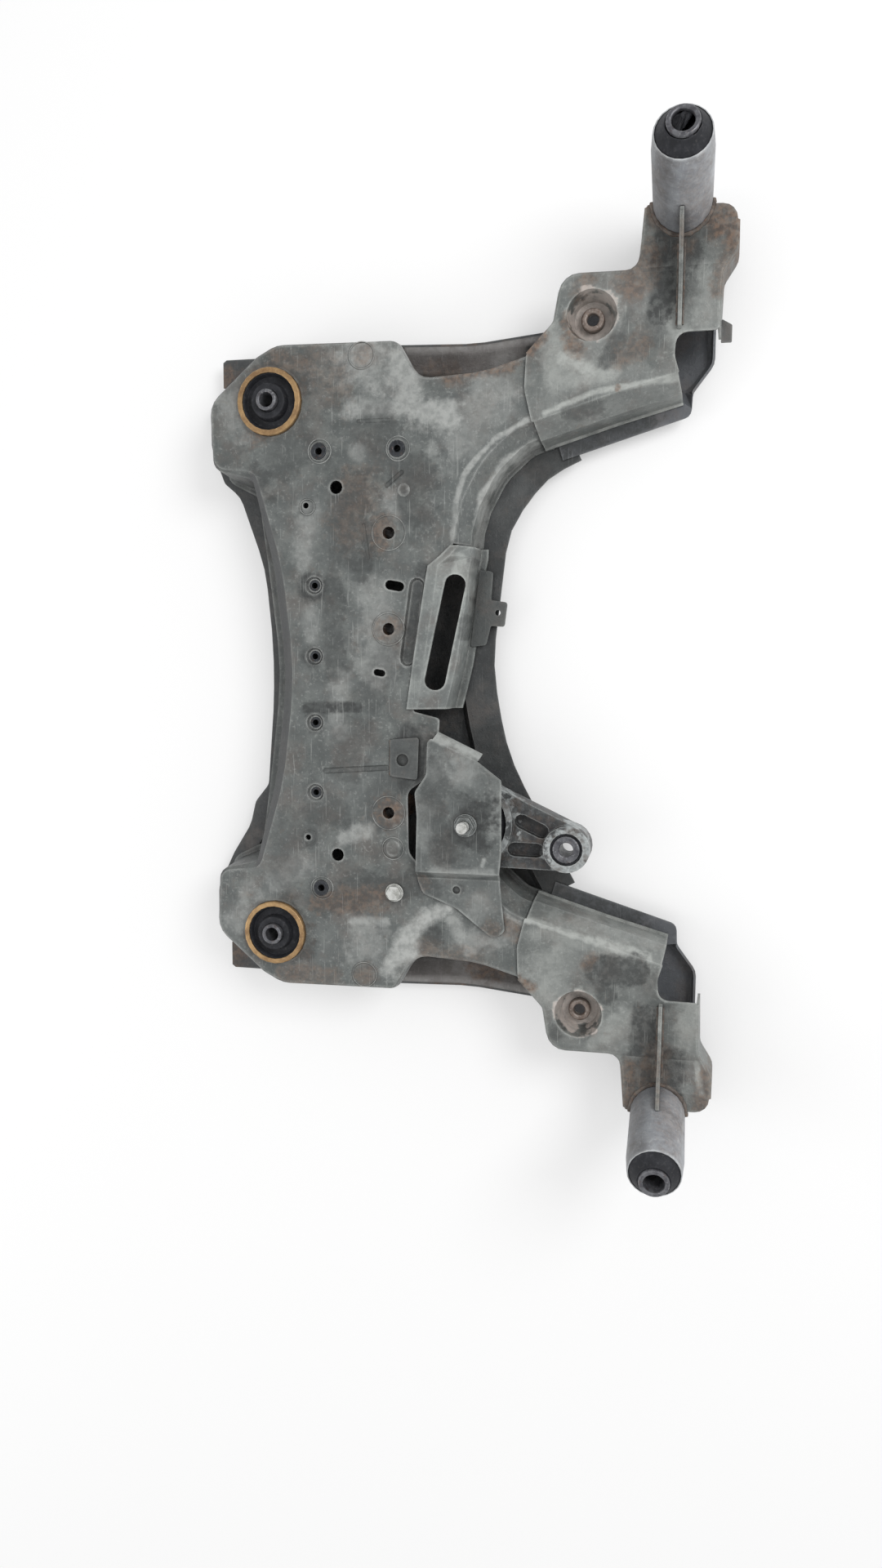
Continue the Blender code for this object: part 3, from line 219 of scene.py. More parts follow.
def dipped_sheet(name, tones, worn_and_highlit, rust, dust, light=(), dark=(), brown=(), lit_cups=(),
                 shapes=(), corner_shade_tone="#2b2a2a", corner_shade=0.75, rear_face_shade=0.0):
    """Deep-drawn steel sheet, dip painted in grey, after years on the road: the film is satin
    and slightly dented, dulled by dust, worn light on the bends, which also carry a painted
    highlight, darkened by painted shade in the corners and on walls that face the rear, brown
    where water creeps under the paint, and painted pale in its cups against their shade."""
    material, tree, shader, place = finish(name, 0.55, 0.12)
    deep, middle, pale, scuff = tones
    # Road film in clouds of 60, 38 and 24 mm, wiped smears, chips and pores of 3 to 4 mm,
    # drops 9.5 mm apart and long scratches.
    broad = blotches(tree, place, 0.060, 0.34, 0.66)
    patch = blotches(tree, place, 0.024, 0.40, 0.70, 9.0, 0.68)
    warm = node(tree, "ShaderNodeMapping", {"Vector": place, "Location": (0.31, 0.17, 0.05)})
    warm = blotches(tree, warm, 0.038, 0.46, 0.66, 7.0, 0.64)
    smear = node(tree, "ShaderNodeMapping", {"Vector": place, "Scale": (0.35, 1.0, 1.0),
                                             "Rotation": (0, 0, 0.35)})
    smear = blotches(tree, smear, 0.011, 0.50, 0.78, 7.0, 0.72)
    speck = blotches(tree, place, 0.0032, 0.54, 0.72, 3.0, 0.6)
    pores = blotches(tree, place, 0.0042, 0.50, 0.30, 4.0, 0.7)
    splash = node(tree, "ShaderNodeTexVoronoi", {"Vector": place, "Scale": 1 / 0.0095},
                  "Distance")
    splash = node(tree, "ShaderNodeMapRange",
                  {"Value": splash, "From Min": 0.20, "From Max": 0.08})
    hair = node(tree, "ShaderNodeMapping", {"Vector": place, "Scale": (6.0, 0.25, 1.0),
                                            "Rotation": (0, 0, 0.9)})
    hair = blotches(tree, hair, 0.010, 0.66, 0.70, 2.0, 0.5)
    layers = [(broad, 0.85, middle), (warm, 0.50, "#68605b"), (patch, 0.55 * dust, pale),
              (smear, 0.40 * dust, pale), (speck, 0.26 * dust, scuff), (splash, 0.25, deep),
              (pores, 0.45, deep)]
    # Light marks: dust and scuffs, and painted highlights.
    if light:
        layers.append((strokes(tree, place, light, 0.75, 0.015, 0.2), 0.95 * dust, scuff))
    # Dark marks: dirt, and painted shade.
    if dark:
        layers.append((strokes(tree, place, dark, 0.50, 0.012, 0.5), 0.95, "#373939"))
    layers.append((hair, 0.25, scuff))
    # Bends and cut edges lighter: worn paint, and a painted highlight.
    patchy_edges = blotches(tree, place, 0.016, 0.36, 0.62, 5.0)
    patchy_edges = node(tree, "ShaderNodeMath", {0: patchy_edges, 1: 0.75, 2: 0.25}, operation="MULTIPLY_ADD")
    for radius, low, high, share, tone in ((0.0046, 0.02, 0.13, worn_and_highlit, scuff),
                                           (0.0014, 0.05, 0.25, worn_and_highlit * 0.5, "#c2c4c2")):
        bare_and_highlit = node(tree, "ShaderNodeMath", {0: bends(tree, radius, low, high), 1: patchy_edges},
                    operation="MULTIPLY")
        layers.append((bare_and_highlit, share, tone))
    stain = blotches(tree, place, 0.020, 0.60, 0.76, 8.0, 0.72)
    stained = node(tree, "ShaderNodeMath", {0: stain, 1: 0.40 * rust}, operation="MULTIPLY")
    if brown:
        stained = node(tree, "ShaderNodeMath",
                       {0: stained, 1: strokes(tree, place, brown, 0.7, 0.009)},
                       operation="MAXIMUM")
    tint = coats(tree, "#574b44", [(blotches(tree, place, 0.006, 0.4, 0.6), 1.0, "#7d6757")])
    layers.append((stained, min(1.0, 0.95 * rust), tint))
    # Painted shade: walls that face the rear are darker.
    if rear_face_shade:
        facing = node(tree, "ShaderNodeNewGeometry", out="Normal")
        facing = node(tree, "ShaderNodeVectorMath", {0: facing, 1: (-1, 0, 0)}, "Value",
                      operation="DOT_PRODUCT")
        facing = node(tree, "ShaderNodeMapRange",
                      {"Value": facing, "From Min": 0.15, "From Max": 0.50})
        layers.append((facing, rear_face_shade, "#434445"))
    # Painted shade: darker deep in corners and pockets.
    layers.append((corners(tree, 0.030), corner_shade, corner_shade_tone))
    # Painted light: the cups paler, against the shade that their depth casts.
    if lit_cups:
        layers.append((strokes(tree, place, lit_cups, 0.1, 0.012, 0.85), 0.85, "#c4bab3"))
    colour = coats(tree, deep, layers)
    tree.links.new(colour, shader.inputs["Base Color"])
    rough = node(tree, "ShaderNodeMapRange", {"Value": patch, "To Min": 0.42, "To Max": 0.62})
    rough = node(tree, "ShaderNodeMath", {0: stained, 1: 0.25, 2: rough}, use_clamp=True,
                 operation="MULTIPLY_ADD")
    tree.links.new(rough, shader.inputs["Roughness"])
    dents = node(tree, "ShaderNodeTexNoise", {"Vector": place, "Scale": 1 / 0.040, "Detail": 2.0})
    bump = node(tree, "ShaderNodeBump", {"Height": dents, "Distance": 0.0030, "Strength": 0.6})
    bump = node(tree, "ShaderNodeBump", {"Height": patch, "Distance": 0.0004, "Strength": 0.5,
                                         "Normal": bump})
    bump = node(tree, "ShaderNodeBump", {"Height": pores, "Distance": 0.0003, "Strength": 0.5,
                                         "Normal": bump})
    if shapes:
        bump = node(tree, "ShaderNodeBump", {"Height": relief(tree, place, shapes),
                                             "Distance": 1.0, "Normal": bump})
    tree.links.new(bump, shader.inputs["Normal"])
    return material


def moulded_rubber(name):
    """Carbon-black natural rubber, moulded: matt blue-black, greyed by dust where it is open,
    with a painted highlight on its edges.
    """
    material, tree, shader, place = finish(name, 0.72)
    colour = coats(tree, "#14161c", [(blotches(tree, place, 0.012, 0.40, 0.75), 0.45, "#3f4046"),
                                     (blotches(tree, place, 0.003, 0.55, 0.75), 0.35, "#5a5856"),
                                     (bends(tree, 0.0015), 0.35, "#4e4f54")])
    tree.links.new(colour, shader.inputs["Base Color"])
    grain = node(tree, "ShaderNodeTexNoise", {"Vector": place, "Scale": 1 / 0.0016,
                                              "Detail": 3.0})
    tree.links.new(node(tree, "ShaderNodeBump", {"Height": grain, "Distance": 0.0003,
                                                 "Strength": 0.6}), shader.inputs["Normal"])
    return material


def turned_steel(name, base, bright, deep, metallic, rust, edge=0.7):
    """Carbon steel turned on a lathe and left bare: dull oxide, brighter on its rims from wear
    and a painted highlight, brown pits, and painted shade in its corners.
    """
    material, tree, shader, place = finish(name, 0.4, metallic)
    cloud = blotches(tree, place, 0.008, 0.34, 0.66)
    colour = coats(tree, deep, [(cloud, 1.0, base),
                                (blotches(tree, place, 0.0022, 0.52, 0.72), 0.4, bright),
                                (bends(tree, 0.0014), edge, bright),
                                (blotches(tree, place, 0.005, 0.55, 0.70), rust, "#6a4f3e"),
                                (corners(tree, 0.010), 0.6, "#1b1b1c")])
    tree.links.new(colour, shader.inputs["Base Color"])
    rough = node(tree, "ShaderNodeMapRange", {"Value": cloud, "To Min": 0.30, "To Max": 0.55})
    tree.links.new(rough, shader.inputs["Roughness"])
    grain = node(tree, "ShaderNodeTexNoise", {"Vector": place, "Scale": 1 / 0.0012,
                                              "Detail": 4.0})
    tree.links.new(node(tree, "ShaderNodeBump", {"Height": grain, "Distance": 0.0002,
                                                 "Strength": 0.5}), shader.inputs["Normal"])
    return material


def passivated_zinc(name):
    """Zinc plate with yellow passivation: a tarnished gold that has gone brown in patches, with
    a painted highlight on its edges and painted shade in its corners.
    """
    material, tree, shader, place = finish(name, 0.42, 0.5)
    cloud = blotches(tree, place, 0.014, 0.32, 0.66)
    colour = coats(tree, "#86694a", [(cloud, 1.0, "#b59468"),
                                     (blotches(tree, place, 0.003, 0.50, 0.72), 0.35, "#cdb188"),
                                     (bends(tree, 0.0012), 0.5, "#d3b88e"),
                                     (corners(tree, 0.008), 0.7, "#3b2e23")])
    tree.links.new(colour, shader.inputs["Base Color"])
    rough = node(tree, "ShaderNodeMapRange", {"Value": cloud, "To Min": 0.52, "To Max": 0.34})
    tree.links.new(rough, shader.inputs["Roughness"])
    return material


def cast_aluminium(name):
    """Aluminium cast in sand: pebbled grey skin, dark with oily dirt, pale where it was rubbed,
    with a painted highlight on its edges and painted shade in its corners.
    """
    material, tree, shader, place = finish(name, 0.5, 0.35)
    # Both rings are rubbed pale, and the webs between them hold the dirt.
    light = ((0.95, 53, 23, -156), (0.95, 27, 127, -180))
    dark = ((0.9, 16, 92, -163, 106, -176), (0.7, 14, 84, -148, 104, -158),
            (0.7, 12, 84, -188, 100, -198))
    colour = coats(tree, "#3a3b3c", [
        (blotches(tree, place, 0.018, 0.36, 0.68, 7.0), 0.8, "#5d6060"),
        (blotches(tree, place, 0.004, 0.45, 0.70), 0.35, "#85898a"),
        (strokes(tree, place, dark, 0.5, 0.008), 0.9, "#333234"),
        (strokes(tree, place, light, 0.1, 0.008, 0.85), 0.95, "#b4b9b9"),
        (bends(tree, 0.0022), 0.6, "#b8bcbb"),
        (blotches(tree, place, 0.010, 0.46, 0.66), 0.55, "#5f544d"),
        (corners(tree, 0.014), 0.65, "#29282a")])
    tree.links.new(colour, shader.inputs["Base Color"])
    pebbles = node(tree, "ShaderNodeTexNoise", {"Vector": place, "Scale": 1 / 0.0022,
                                                "Detail": 3.0})
    tree.links.new(node(tree, "ShaderNodeBump", {"Height": pebbles, "Distance": 0.0006,
                                                 "Strength": 0.8}), shader.inputs["Normal"])
    return material


def arc_weld(name):
    """Steel laid by arc, rippled, painted over and rusting through at its crest, with a painted
    highlight on its edges.
    """
    material, tree, shader, place = finish(name, 0.7, 0.15)
    colour = coats(tree, "#4c443f", [(blotches(tree, place, 0.009, 0.38, 0.62), 0.9, "#6f6862"),
                                     (blotches(tree, place, 0.004, 0.50, 0.66), 0.6, "#7b6252"),
                                     (bends(tree, 0.0015), 0.35, "#918c87")])
    tree.links.new(colour, shader.inputs["Base Color"])
    lumps = node(tree, "ShaderNodeTexNoise", {"Vector": place, "Scale": 1 / 0.003,
                                              "Detail": 4.0})
    tree.links.new(node(tree, "ShaderNodeBump", {"Height": lumps, "Distance": 0.0006,
                                                 "Strength": 0.8}), shader.inputs["Normal"])
    return material


# Mesh helpers

def only(o):
    """Selects one object alone and makes it active."""
    bpy.ops.object.select_all(action="DESELECT")
    o.select_set(True)
    bpy.context.view_layer.objects.active = o


def rounded_copy(name, fold, rim, sheet=0.0):
    """Copy of a node with its facets merged: bends get the radius fold, cut edges get rim.

    On sheet metal the faces no wider than the sheet are its cut edges."""
    flat, sharp, smooth = math.radians(0.5), math.radians(22), math.radians(40)
    merge, inner_bend, cut_width = 0.00002, 0.75, sheet * 1.06
    mesh = NODES[name].data.copy()
    made = bpy.data.objects.new(name + "_formed", mesh)
    bpy.context.scene.collection.objects.link(made)
    only(made)
    bpy.ops.object.mode_set(mode="EDIT")
    bpy.ops.mesh.select_all(action="SELECT")
    bpy.ops.mesh.remove_doubles(threshold=merge)
    bpy.ops.mesh.dissolve_limited(angle_limit=flat)
    bm = bmesh.from_edit_mesh(mesh)
    weight = bm.edges.layers.float.new("bevel_weight_edge")
    cut = {f for f in bm.faces if sheet
           and f.calc_area() / max(e.calc_length() for e in f.edges) < cut_width}
    for e in bm.edges:
        if len(e.link_faces) != 2 or e.calc_face_angle(0) < sharp:
            continue
        if any(f in cut for f in e.link_faces):
            e[weight] = rim / fold
        else:
            e[weight] = 1.0 if e.is_convex else inner_bend
    bmesh.update_edit_mesh(mesh)
    bpy.ops.object.mode_set(mode="OBJECT")
    bend = made.modifiers.new("bends", "BEVEL")
    bend.limit_method = "WEIGHT"
    bend.width = fold
    bend.segments = 3
    bpy.ops.object.shade_smooth_by_angle(angle=smooth)
    even = made.modifiers.new("even", "WEIGHTED_NORMAL")
    even.keep_sharp = True
    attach(made, "root")
    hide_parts(name)
    return made


def paint(o, material):
    """Gives a piece its only material, and a new piece its slot."""
    o.data.materials.clear()
    o.data.materials.append(material)


def bead(name, points, radius, material, closed=False):
    """Line of metal along points, half sunk in what it lies on: an open one is rippled as a weld
    bead is, and a closed one is even, as a stamped ring is."""
    bpy.ops.curve.primitive_nurbs_path_add()
    path = bpy.context.object
    path.name = name
    path.data.splines.clear()
    line = path.data.splines.new("POLY")
    line.points.add(len(points) - 1)
    # The ripples are two waves that never fall in step, so no two of them are alike.
    for i, (spot, p) in enumerate(zip(line.points, points)):
        spot.co = (*p, 1)
        spot.radius = 1 if closed else 1 + 0.16 * math.sin(i * 2.1) + 0.10 * math.sin(i * 5.3 + 1)
    line.use_cyclic_u = closed
    path.data.bevel_depth = radius
    path.data.bevel_resolution = 2
    path.data.use_fill_caps = not closed
    only(path)
    bpy.ops.object.convert(target="MESH")
    bpy.ops.object.shade_smooth()
    made = bpy.context.object
    paint(made, material)
    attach(made, "root")


def side_slope(side, s, material):
    """Strip of sheet that falls from the floor pressing's outer rim to its floor, where the
    deck is cut back. It follows the rim's inner face, which a ray from outside finds."""
    start, length, width = -0.062, 0.172, 0.030
    top, drop, rim_sheet, ray_height = 0.0180, 0.0142, 0.0024, 0.0150
    shell = NODES["lower_shell"]
    tree = BVHTree.FromPolygons([shell.matrix_world @ v.co for v in shell.data.vertices],
                                [f.vertices for f in shell.data.polygons])
    bpy.ops.mesh.primitive_grid_add(x_subdivisions=34, y_subdivisions=4, size=1)
    made = bpy.context.object
    made.name = f"side_slope_{side}"
    for v in made.data.vertices:
        x = start + length * (v.co.x + 0.5)
        inward = v.co.y + 0.5
        y = abs(tree.ray_cast(Vector((x, s * 0.6, ray_height)), Vector((0, -s, 0)))[0].y)
        v.co = (x, s * (y - rim_sheet - width * inward), top - drop * inward ** 0.8)
    sheet = made.modifiers.new("sheet", "SOLIDIFY")
    sheet.thickness = 0.0008
    sheet.offset = -1.0 if s > 0 else 1.0
    bpy.ops.object.shade_smooth()
    paint(made, material)
    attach(made, "root")


def stamped_pip(name, x, y, radius, material):
    """Low round pip in the deck: a ball pressed almost flat."""
    sunk, flatness = 0.1, 0.14
    bpy.ops.mesh.primitive_uv_sphere_add(segments=32, ring_count=12, radius=radius * MM,
                                         location=(x * MM, y * MM, DECK_TOP - sunk * MM))
    made = bpy.context.object
    made.name = f"stamped_pip_{name}"
    for v in made.data.vertices:
        v.co.z *= flatness
    bpy.ops.object.transform_apply(location=True, rotation=True, scale=True)
    bpy.ops.object.shade_smooth()
    paint(made, material)
    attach(made, "root")


def stamped_ring(name, x, y, radius, material):
    """Raised ring in the deck."""
    height, half = 0.0006, 24
    circle = [Vector((x * MM + radius * MM * math.cos(k * math.pi / half),
                      y * MM + radius * MM * math.sin(k * math.pi / half), DECK_TOP))
              for k in range(2 * half)]
    bead(f"stamped_ring_{name}", circle, height, material, closed=True)


def arm_rise(y):
    """How far the top of an arm stands above its lower part at y: it climbs towards the tube."""
    return 0.012 * min(1, max(0, (abs(y) - 0.395) / 0.030))


# Marks in plan, in mm: (strength, radius, x, y) is a spot, two more numbers make a streak. They
# are wear, dirt and rust; the light lists also hold painted highlights along bends, lips and
# folds, the dark lists painted shade beside walls, steps and ribs, and the cup lists painted light
# in the cups

# Dust and scuffs, with painted highlights along the front slopes' bends
DECK_SCUFF_AND_SHEEN = (
    (0.80, 21, 2, 262, -38, 270), (0.70, 24, -42, 276, -54, 322), (0.65, 15, -52, 272, -104, 276),
    (0.60, 42, -92, 322), (0.40, 24, 60, 285, 30, 290), (0.80, 4.5, 90, 262, 47, 239),
    (0.80, 4.5, 47, 239, 28, 220), (0.75, 4.5, 28, 220, 16, 205), (0.65, 4.5, 16, 205, 8, 178),
    (0.45, 4.5, 8, 178, 4, 140), (0.90, 5, 86, 238, 55, 220), (0.90, 5, 55, 220, 31, 186),
    (0.80, 5, 31, 186, 23, 134), (0.35, 12, -64, 186, -58, 168), (0.40, 14, -96, 232),
    (0.35, 36, 40, 275, 10, 235), (0.90, 12, 2, -248, -20, -258),
    (0.95, 15, -20, -258, -48, -288), (0.95, 18, -42, -294, -62, -316),
    (0.60, 9, -68, -267, -104, -268), (0.40, 34, -88, -292), (0.55, 14, 8, -262, 26, -292),
    (0.60, 13, -88, -168, -114, -176), (0.65, 10, 52, -207, -14, -208),
    (0.40, 26, 30, -285, 60, -270), (0.35, 26, -215, -250, -240, -275),
    (0.35, 26, -215, 262, -240, 280), (0.40, 18, -152, 170, -158, 120),
    (0.30, 13, -150, 66, -150, 40), (0.60, 4, 83, -262, 60, -250), (0.35, 30, -78, 86, -78, 8),
    (0.35, 18, -118, -8, -120, -60), (0.30, 20, -160, -206, -190, -225))
# Dirt and discoloration, with painted shade along the rear wall, the step under the slot and in
# the dimple
DECK_DIRT_AND_SHADE = (
    (0.60, 30, -105, 190, -108, 128), (0.50, 30, -80, 258, -60, 222),
    (0.60, 24, -30, 215, -36, 168), (0.70, 8, -86, 122, -91, 156), (0.80, 4, -50, 209, -66, 196),
    (0.55, 16, -126, 96, -122, 4), (1.0, 19, -148, 94), (1.0, 18, -148, 19),
    (0.90, 16, -146, -52), (0.65, 16, -146, -126), (0.75, 17, -139, 233), (0.75, 17, -54, 233),
    (0.65, 12, -153, 176), (0.60, 14, -153, -178), (0.70, 18, -139, -233),
    (0.60, 18, -36, -222, -56, -234), (1.0, 8, -98, -35, -154, -36),
    (0.65, 4, -66, -99, -134, -104), (1.0, 18, -38, -66, -42, -116),
    (0.8, 20, -20, -84, -34, -112), (0.75, 16, -24, -112, -24, -200),
    (0.85, 13, -27, 106, -42, 22), (0.75, 15, -14, -281), (0.60, 46, -193, 285),
    (0.60, 47, -193, -285), (0.60, 24, -210, 205, -214, 150), (0.40, 26, -180, -215, -170, -160),
    (0.60, 24, -78, -228, -136, -246), (0.60, 3.5, -64, 262, -96, 262), (0.60, 9, 22, -225),
    (0.45, 26, 20, -226, 44, -256), (0.45, 24, -64, -120, -80, -150),
    (0.40, 26, -104, -60, -110, -98), (0.45, 22, -120, -150, -150, -150),
    (0.40, 22, -60, 16, -86, -20), (0.35, 26, -160, 240, -178, 226),
    (0.60, 10, -190, 90, -184, 40), (0.60, 10, -184, 40, -184, -60))
DECK_BROWN = (
    (0.65, 24, -70, 150), (0.80, 24, -64, -148), (0.60, 22, -64, 48), (0.50, 17, -92, 327),
    (0.50, 17, -91, -327), (0.80, 14, 62, 314, 0, 304), (0.50, 44, -193, 285),
    (0.50, 44, -193, -285), (0.60, 22, -78, -242, -135, -250), (0.45, 20, -130, -335, -180, -335),
    (0.45, 18, -160, 320, -185, 330), (0.55, 16, 62, -262, 75, -272),
    (0.40, 22, -20, -300, 30, -308), (0.35, 30, -120, 300, -140, 326),
    (0.30, 34, -90, 200, -104, 150))
FLOOR_LIGHT = (
    (0.5, 22, 5, 330, 40, 326), (0.4, 18, 0, -328, 50, -322), (0.35, 16, 45, 170, 70, 205),
    (0.25, 18, -232, 0, -220, 80))
# Dirt, with painted shadow where the floor meets the arms
FLOOR_DIRT_AND_SHADE = (
    (0.9, 14, 76, 335, 78, 312), (0.9, 12, 82, -330, 80, -312), (0.85, 26, 88, 220, 112, 236),
    (0.85, 40, 60, -215, 110, -222), (0.7, 14, 30, 116, 46, 118), (0.7, 24, 35, -70, 52, -92),
    (0.5, 12, 42, 60, 46, -20))
FLOOR_BROWN = (
    (0.7, 26, 62, 326, 26, 328), (0.6, 24, -20, 335, 10, 335), (0.8, 28, -14, -326, 62, -326),
    (0.6, 30, -262, 320), (0.6, 30, -262, -320))
FLANGE_LIGHT = ((0.7, 14, 52, 334, 40, 330), (0.6, 14, 0, -330, 20, -332))
FLANGE_DARK = ((1.0, 13, 76, 336, 78, 310), (0.9, 10, 74, -336, 78, -312))
FLANGE_BROWN = ((0.5, 14, -34, 326, -10, 322), (0.7, 16, 20, -330, 46, -332))
# Dust and scuffs, with painted highlights along the bends and the ear's fold, and painted light in
# the cups
ARM_SCUFF_AND_SHEEN = (
    (0.85, 13, 142, 300, 113, 316), (0.65, 12, 163, 298, 130, 292),
    (0.50, 26, 104, 334, 116, 300), (0.90, 4.5, 228, 292, 150, 281),
    (0.90, 4.5, 150, 281, 98, 262), (0.50, 4.5, 236, 278, 122, 238),
    (0.35, 20, 250, 380, 252, 345), (0.45, 16, 232, 330, 222, 345),
    (0.95, 8, 214, -290, 160, -276), (0.95, 6, 160, -276, 84, -254),
    (0.35, 24, 214, -282, 110, -262), (0.45, 26, 120, -290, 108, -330),
    (0.50, 20, 188, -356, 174, -376), (0.45, 18, 262, -330, 252, -380),
    (0.45, 14, 225, -266, 150, -250), (0.80, 5, 266, -398, 271, -424),
    (0.60, 5, 220, 345, 222, 360), (0.60, 5, 222, -345, 225, -360),
    (0.40, 12, 168, -370, 158, -384), (1.0, 32, 143, 354), (1.0, 32, 143, -354))
# Dirt, with painted shadow beside the ribs
ARM_DIRT_AND_SHADE = (
    (0.65, 11, 170, 330, 158, 310), (1.0, 17, 215, 418, 210, 350), (0.55, 16, 206, 345, 200, 330),
    (0.80, 14, 232, 424, 238, 400), (0.65, 13, 254, 422, 240, 424),
    (0.85, 22, 200, -304, 164, -304), (0.65, 14, 166, -312, 172, -330),
    (0.90, 16, 212, -346, 207, -424), (0.90, 15, 240, -394, 242, -424),
    (0.65, 13, 200, -400, 198, -440), (0.60, 10, 126, -366, 118, -380), (0.35, 25, 182, 330),
    (0.35, 25, 222, -320), (0.50, 9, 120, 262, 150, 268), (0.60, 7, 160, -366, 150, -376),
    (0.50, 9, 118, 350, 130, 372), (0.40, 16, 232, 372, 226, 398))
ARM_BROWN = (
    (0.80, 15, 122, 348, 128, 324), (0.50, 27, 143, 354), (0.45, 25, 145, -360),
    (0.90, 15, 256, 447, 262, 424), (0.90, 18, 274, 444, 276, 412),
    (0.75, 14, 198, 452, 204, 434), (0.65, 22, 198, 405, 182, 378), (0.90, 10, 94, 336, 81, 324),
    (0.90, 9, 92, -328, 80, -322), (0.60, 16, 274, -440, 276, -412),
    (0.60, 14, 130, 378, 140, 388), (0.60, 14, 196, -445, 197, -405), (0.75, 5, 170, 283),
    (0.50, 18, 190, 325, 176, 312), (0.55, 10, 150, -300, 156, -292),
    (0.60, 12, 268, 395, 264, 372), (0.50, 14, 232, 410), (0.45, 20, 226, -390, 222, -420))
# Painted light: the cups paler, against the shade that their depth casts.
ARM_LIT_CUPS = ((0.85, 25, 143, 354), (1.0, 25, 143, -354))
TROUGH_DARK = tuple((0.9, 30, 96, s * 226, 190, s * 258) for _, s in SIDES)
TROUGH_BROWN = tuple((0.5, 30, 150, s * 380) for _, s in SIDES)
TUBE_BROWN = (*((0.9, 18, 256, s * 440, 238, s * 430) for _, s in SIDES),
              *((0.7, 14, 202, s * 444, 206, s * 432) for _, s in SIDES))
# Dust and scuffs, with painted highlights along the lip and the edge
PLATE_SCUFF_AND_SHEEN = (
    (0.95, 7, 37, -83, -16, -62), (0.45, 24, 25, -96, 0, -100), (0.50, 8, 50, -206, -10, -208),
    (0.40, 12, -20, -140, -20, -180), (0.95, 3.4, 43, -192, 41, -198),
    (0.40, 20, 40, -240, 20, -260), (0.35, 14, 56, -120, 56, -160))
PLATE_DARK = (
    (1.0, 30, 34, -145, 28, -163), (0.70, 20, 10, -186, -5, -178), (0.6, 20, -8, -100, -10, -150),
    (0.6, 7, 15, -226), (0.45, 14, -24, -215, -10, -228))
PLATE_BROWN = ((0.3, 12, 25, -155), (0.45, 16, 50, -268), (0.35, 14, -27, -220))
SLOPE_LIGHT = ((0.5, 8, 10, 116, -20, 0), (0.5, 7, 12, 122, 20, 112))
SLOPE_DARK = ((0.7, 6, 22, 80), (0.5, 7, 24, 104, 22, 118), (0.6, 5, 14, 60, 11, 40))
BRACKET_DARK = ((0.6, 14, -48, -88),)

# Stamped forms of the deck, in mm: (kind, height, radius, x, y) and for a bar its other end
DECK_STAMPED = (
    ("ring", 1.0, 13.5, -93, 328), ("ring", 1.0, 13.5, -91, -327), ("ring", 0.8, 17, -64, 48),
    ("dome", 1.6, 8, -48, 191), ("dome", 2.2, 11, -59, -186), ("ring", -0.7, 11.5, -59, -186),
    ("ring", 0.6, 18, -64, 147.6), ("ring", 0.6, 18, -64, -147.6), ("dome", -3.0, 18, -14, -281),
    ("bar", -1.0, 7, -98, -35, -154, -36), ("bar", -1.6, 3, -66, -99, -134, -104),
    ("bar", 1.0, 26, -78, 82, -78, -6), ("bar", -1.0, 2, -50, 209, -66, 196),
    ("bar", 0.8, 2, -64, 262, -96, 262), ("bar", -1.0, 1.8, -86, 122, -91, 156),
    ("ring", -0.6, 8, -153, 176), ("ring", -0.6, 8, -153, -178), ("ring", 0.7, 10, -139, 233),
    ("ring", 0.7, 10, -139, -233))

# Raised rings and pips of the deck, in mm: (name, x, y, radius)
DECK_RINGS = (
    ("left", -93, 328, 13.5), ("right", -91, -327, 13.5), ("rack_middle", -64, 48, 17),
    ("rack_left", -64, 147.6, 18), ("rack_right", -64, -147.6, 18), ("small", -153, 176, 8),
    ("pip", -59, -186, 12), ("nut_left", -139, 233, 12.5), ("nut_right", -139, -233, 12.5),
    ("nut_middle", -54, 233, 12.5))
DECK_PIPS = (("left", -48, 191, 7), ("right", -59, -186, 9))


# User settings

class SubframeLook(bpy.types.PropertyGroup):
    """Sizes of bends and welds, and how worn the paint is"""
    fold: bpy.props.FloatProperty(name="Bend radius", description="Size of the pressings' bends",
                                  default=0.0042, min=0.0005, max=0.008, unit="LENGTH")
    rim: bpy.props.FloatProperty(name="Cut edge", description="Rounding of sheared sheet edges",
                                 default=0.0005, min=0.0001, max=0.001, unit="LENGTH")
    weld: bpy.props.FloatProperty(name="Weld size", description="Radius of the weld beads",
                                  default=0.0024, min=0.001, max=0.004, unit="LENGTH")
    dust: bpy.props.FloatProperty(name="Dust", description="Amount of dust on the paint",
                                  default=1.0, min=0.0, max=2.0, subtype="FACTOR")
    rust: bpy.props.FloatProperty(name="Rust", description="Amount of rust on the paint",
                                  default=1.0, min=0.0, max=2.0, subtype="FACTOR")


class SubframeStudio(bpy.types.PropertyGroup):
    """The floor's finish and the strength of the lights"""
    floor: bpy.props.FloatVectorProperty(name="Floor", description="Colour of the floor",
                                         subtype="COLOR", default=(0.97, 0.97, 0.97))
    glow: bpy.props.FloatProperty(name="Floor glow", description="Share of plain white in the "
                                  "floor that is seen", default=0.34, min=0.0, max=1.0,
                                  subtype="FACTOR")
    sky: bpy.props.FloatProperty(name="Fill light", description="Strength of the white dome",
                                 default=0.72, min=0.0, max=2.0)
    key: bpy.props.FloatProperty(name="Key light", description="Power of the soft box",
                                 default=26.0, min=0.0, max=200.0, unit="POWER")


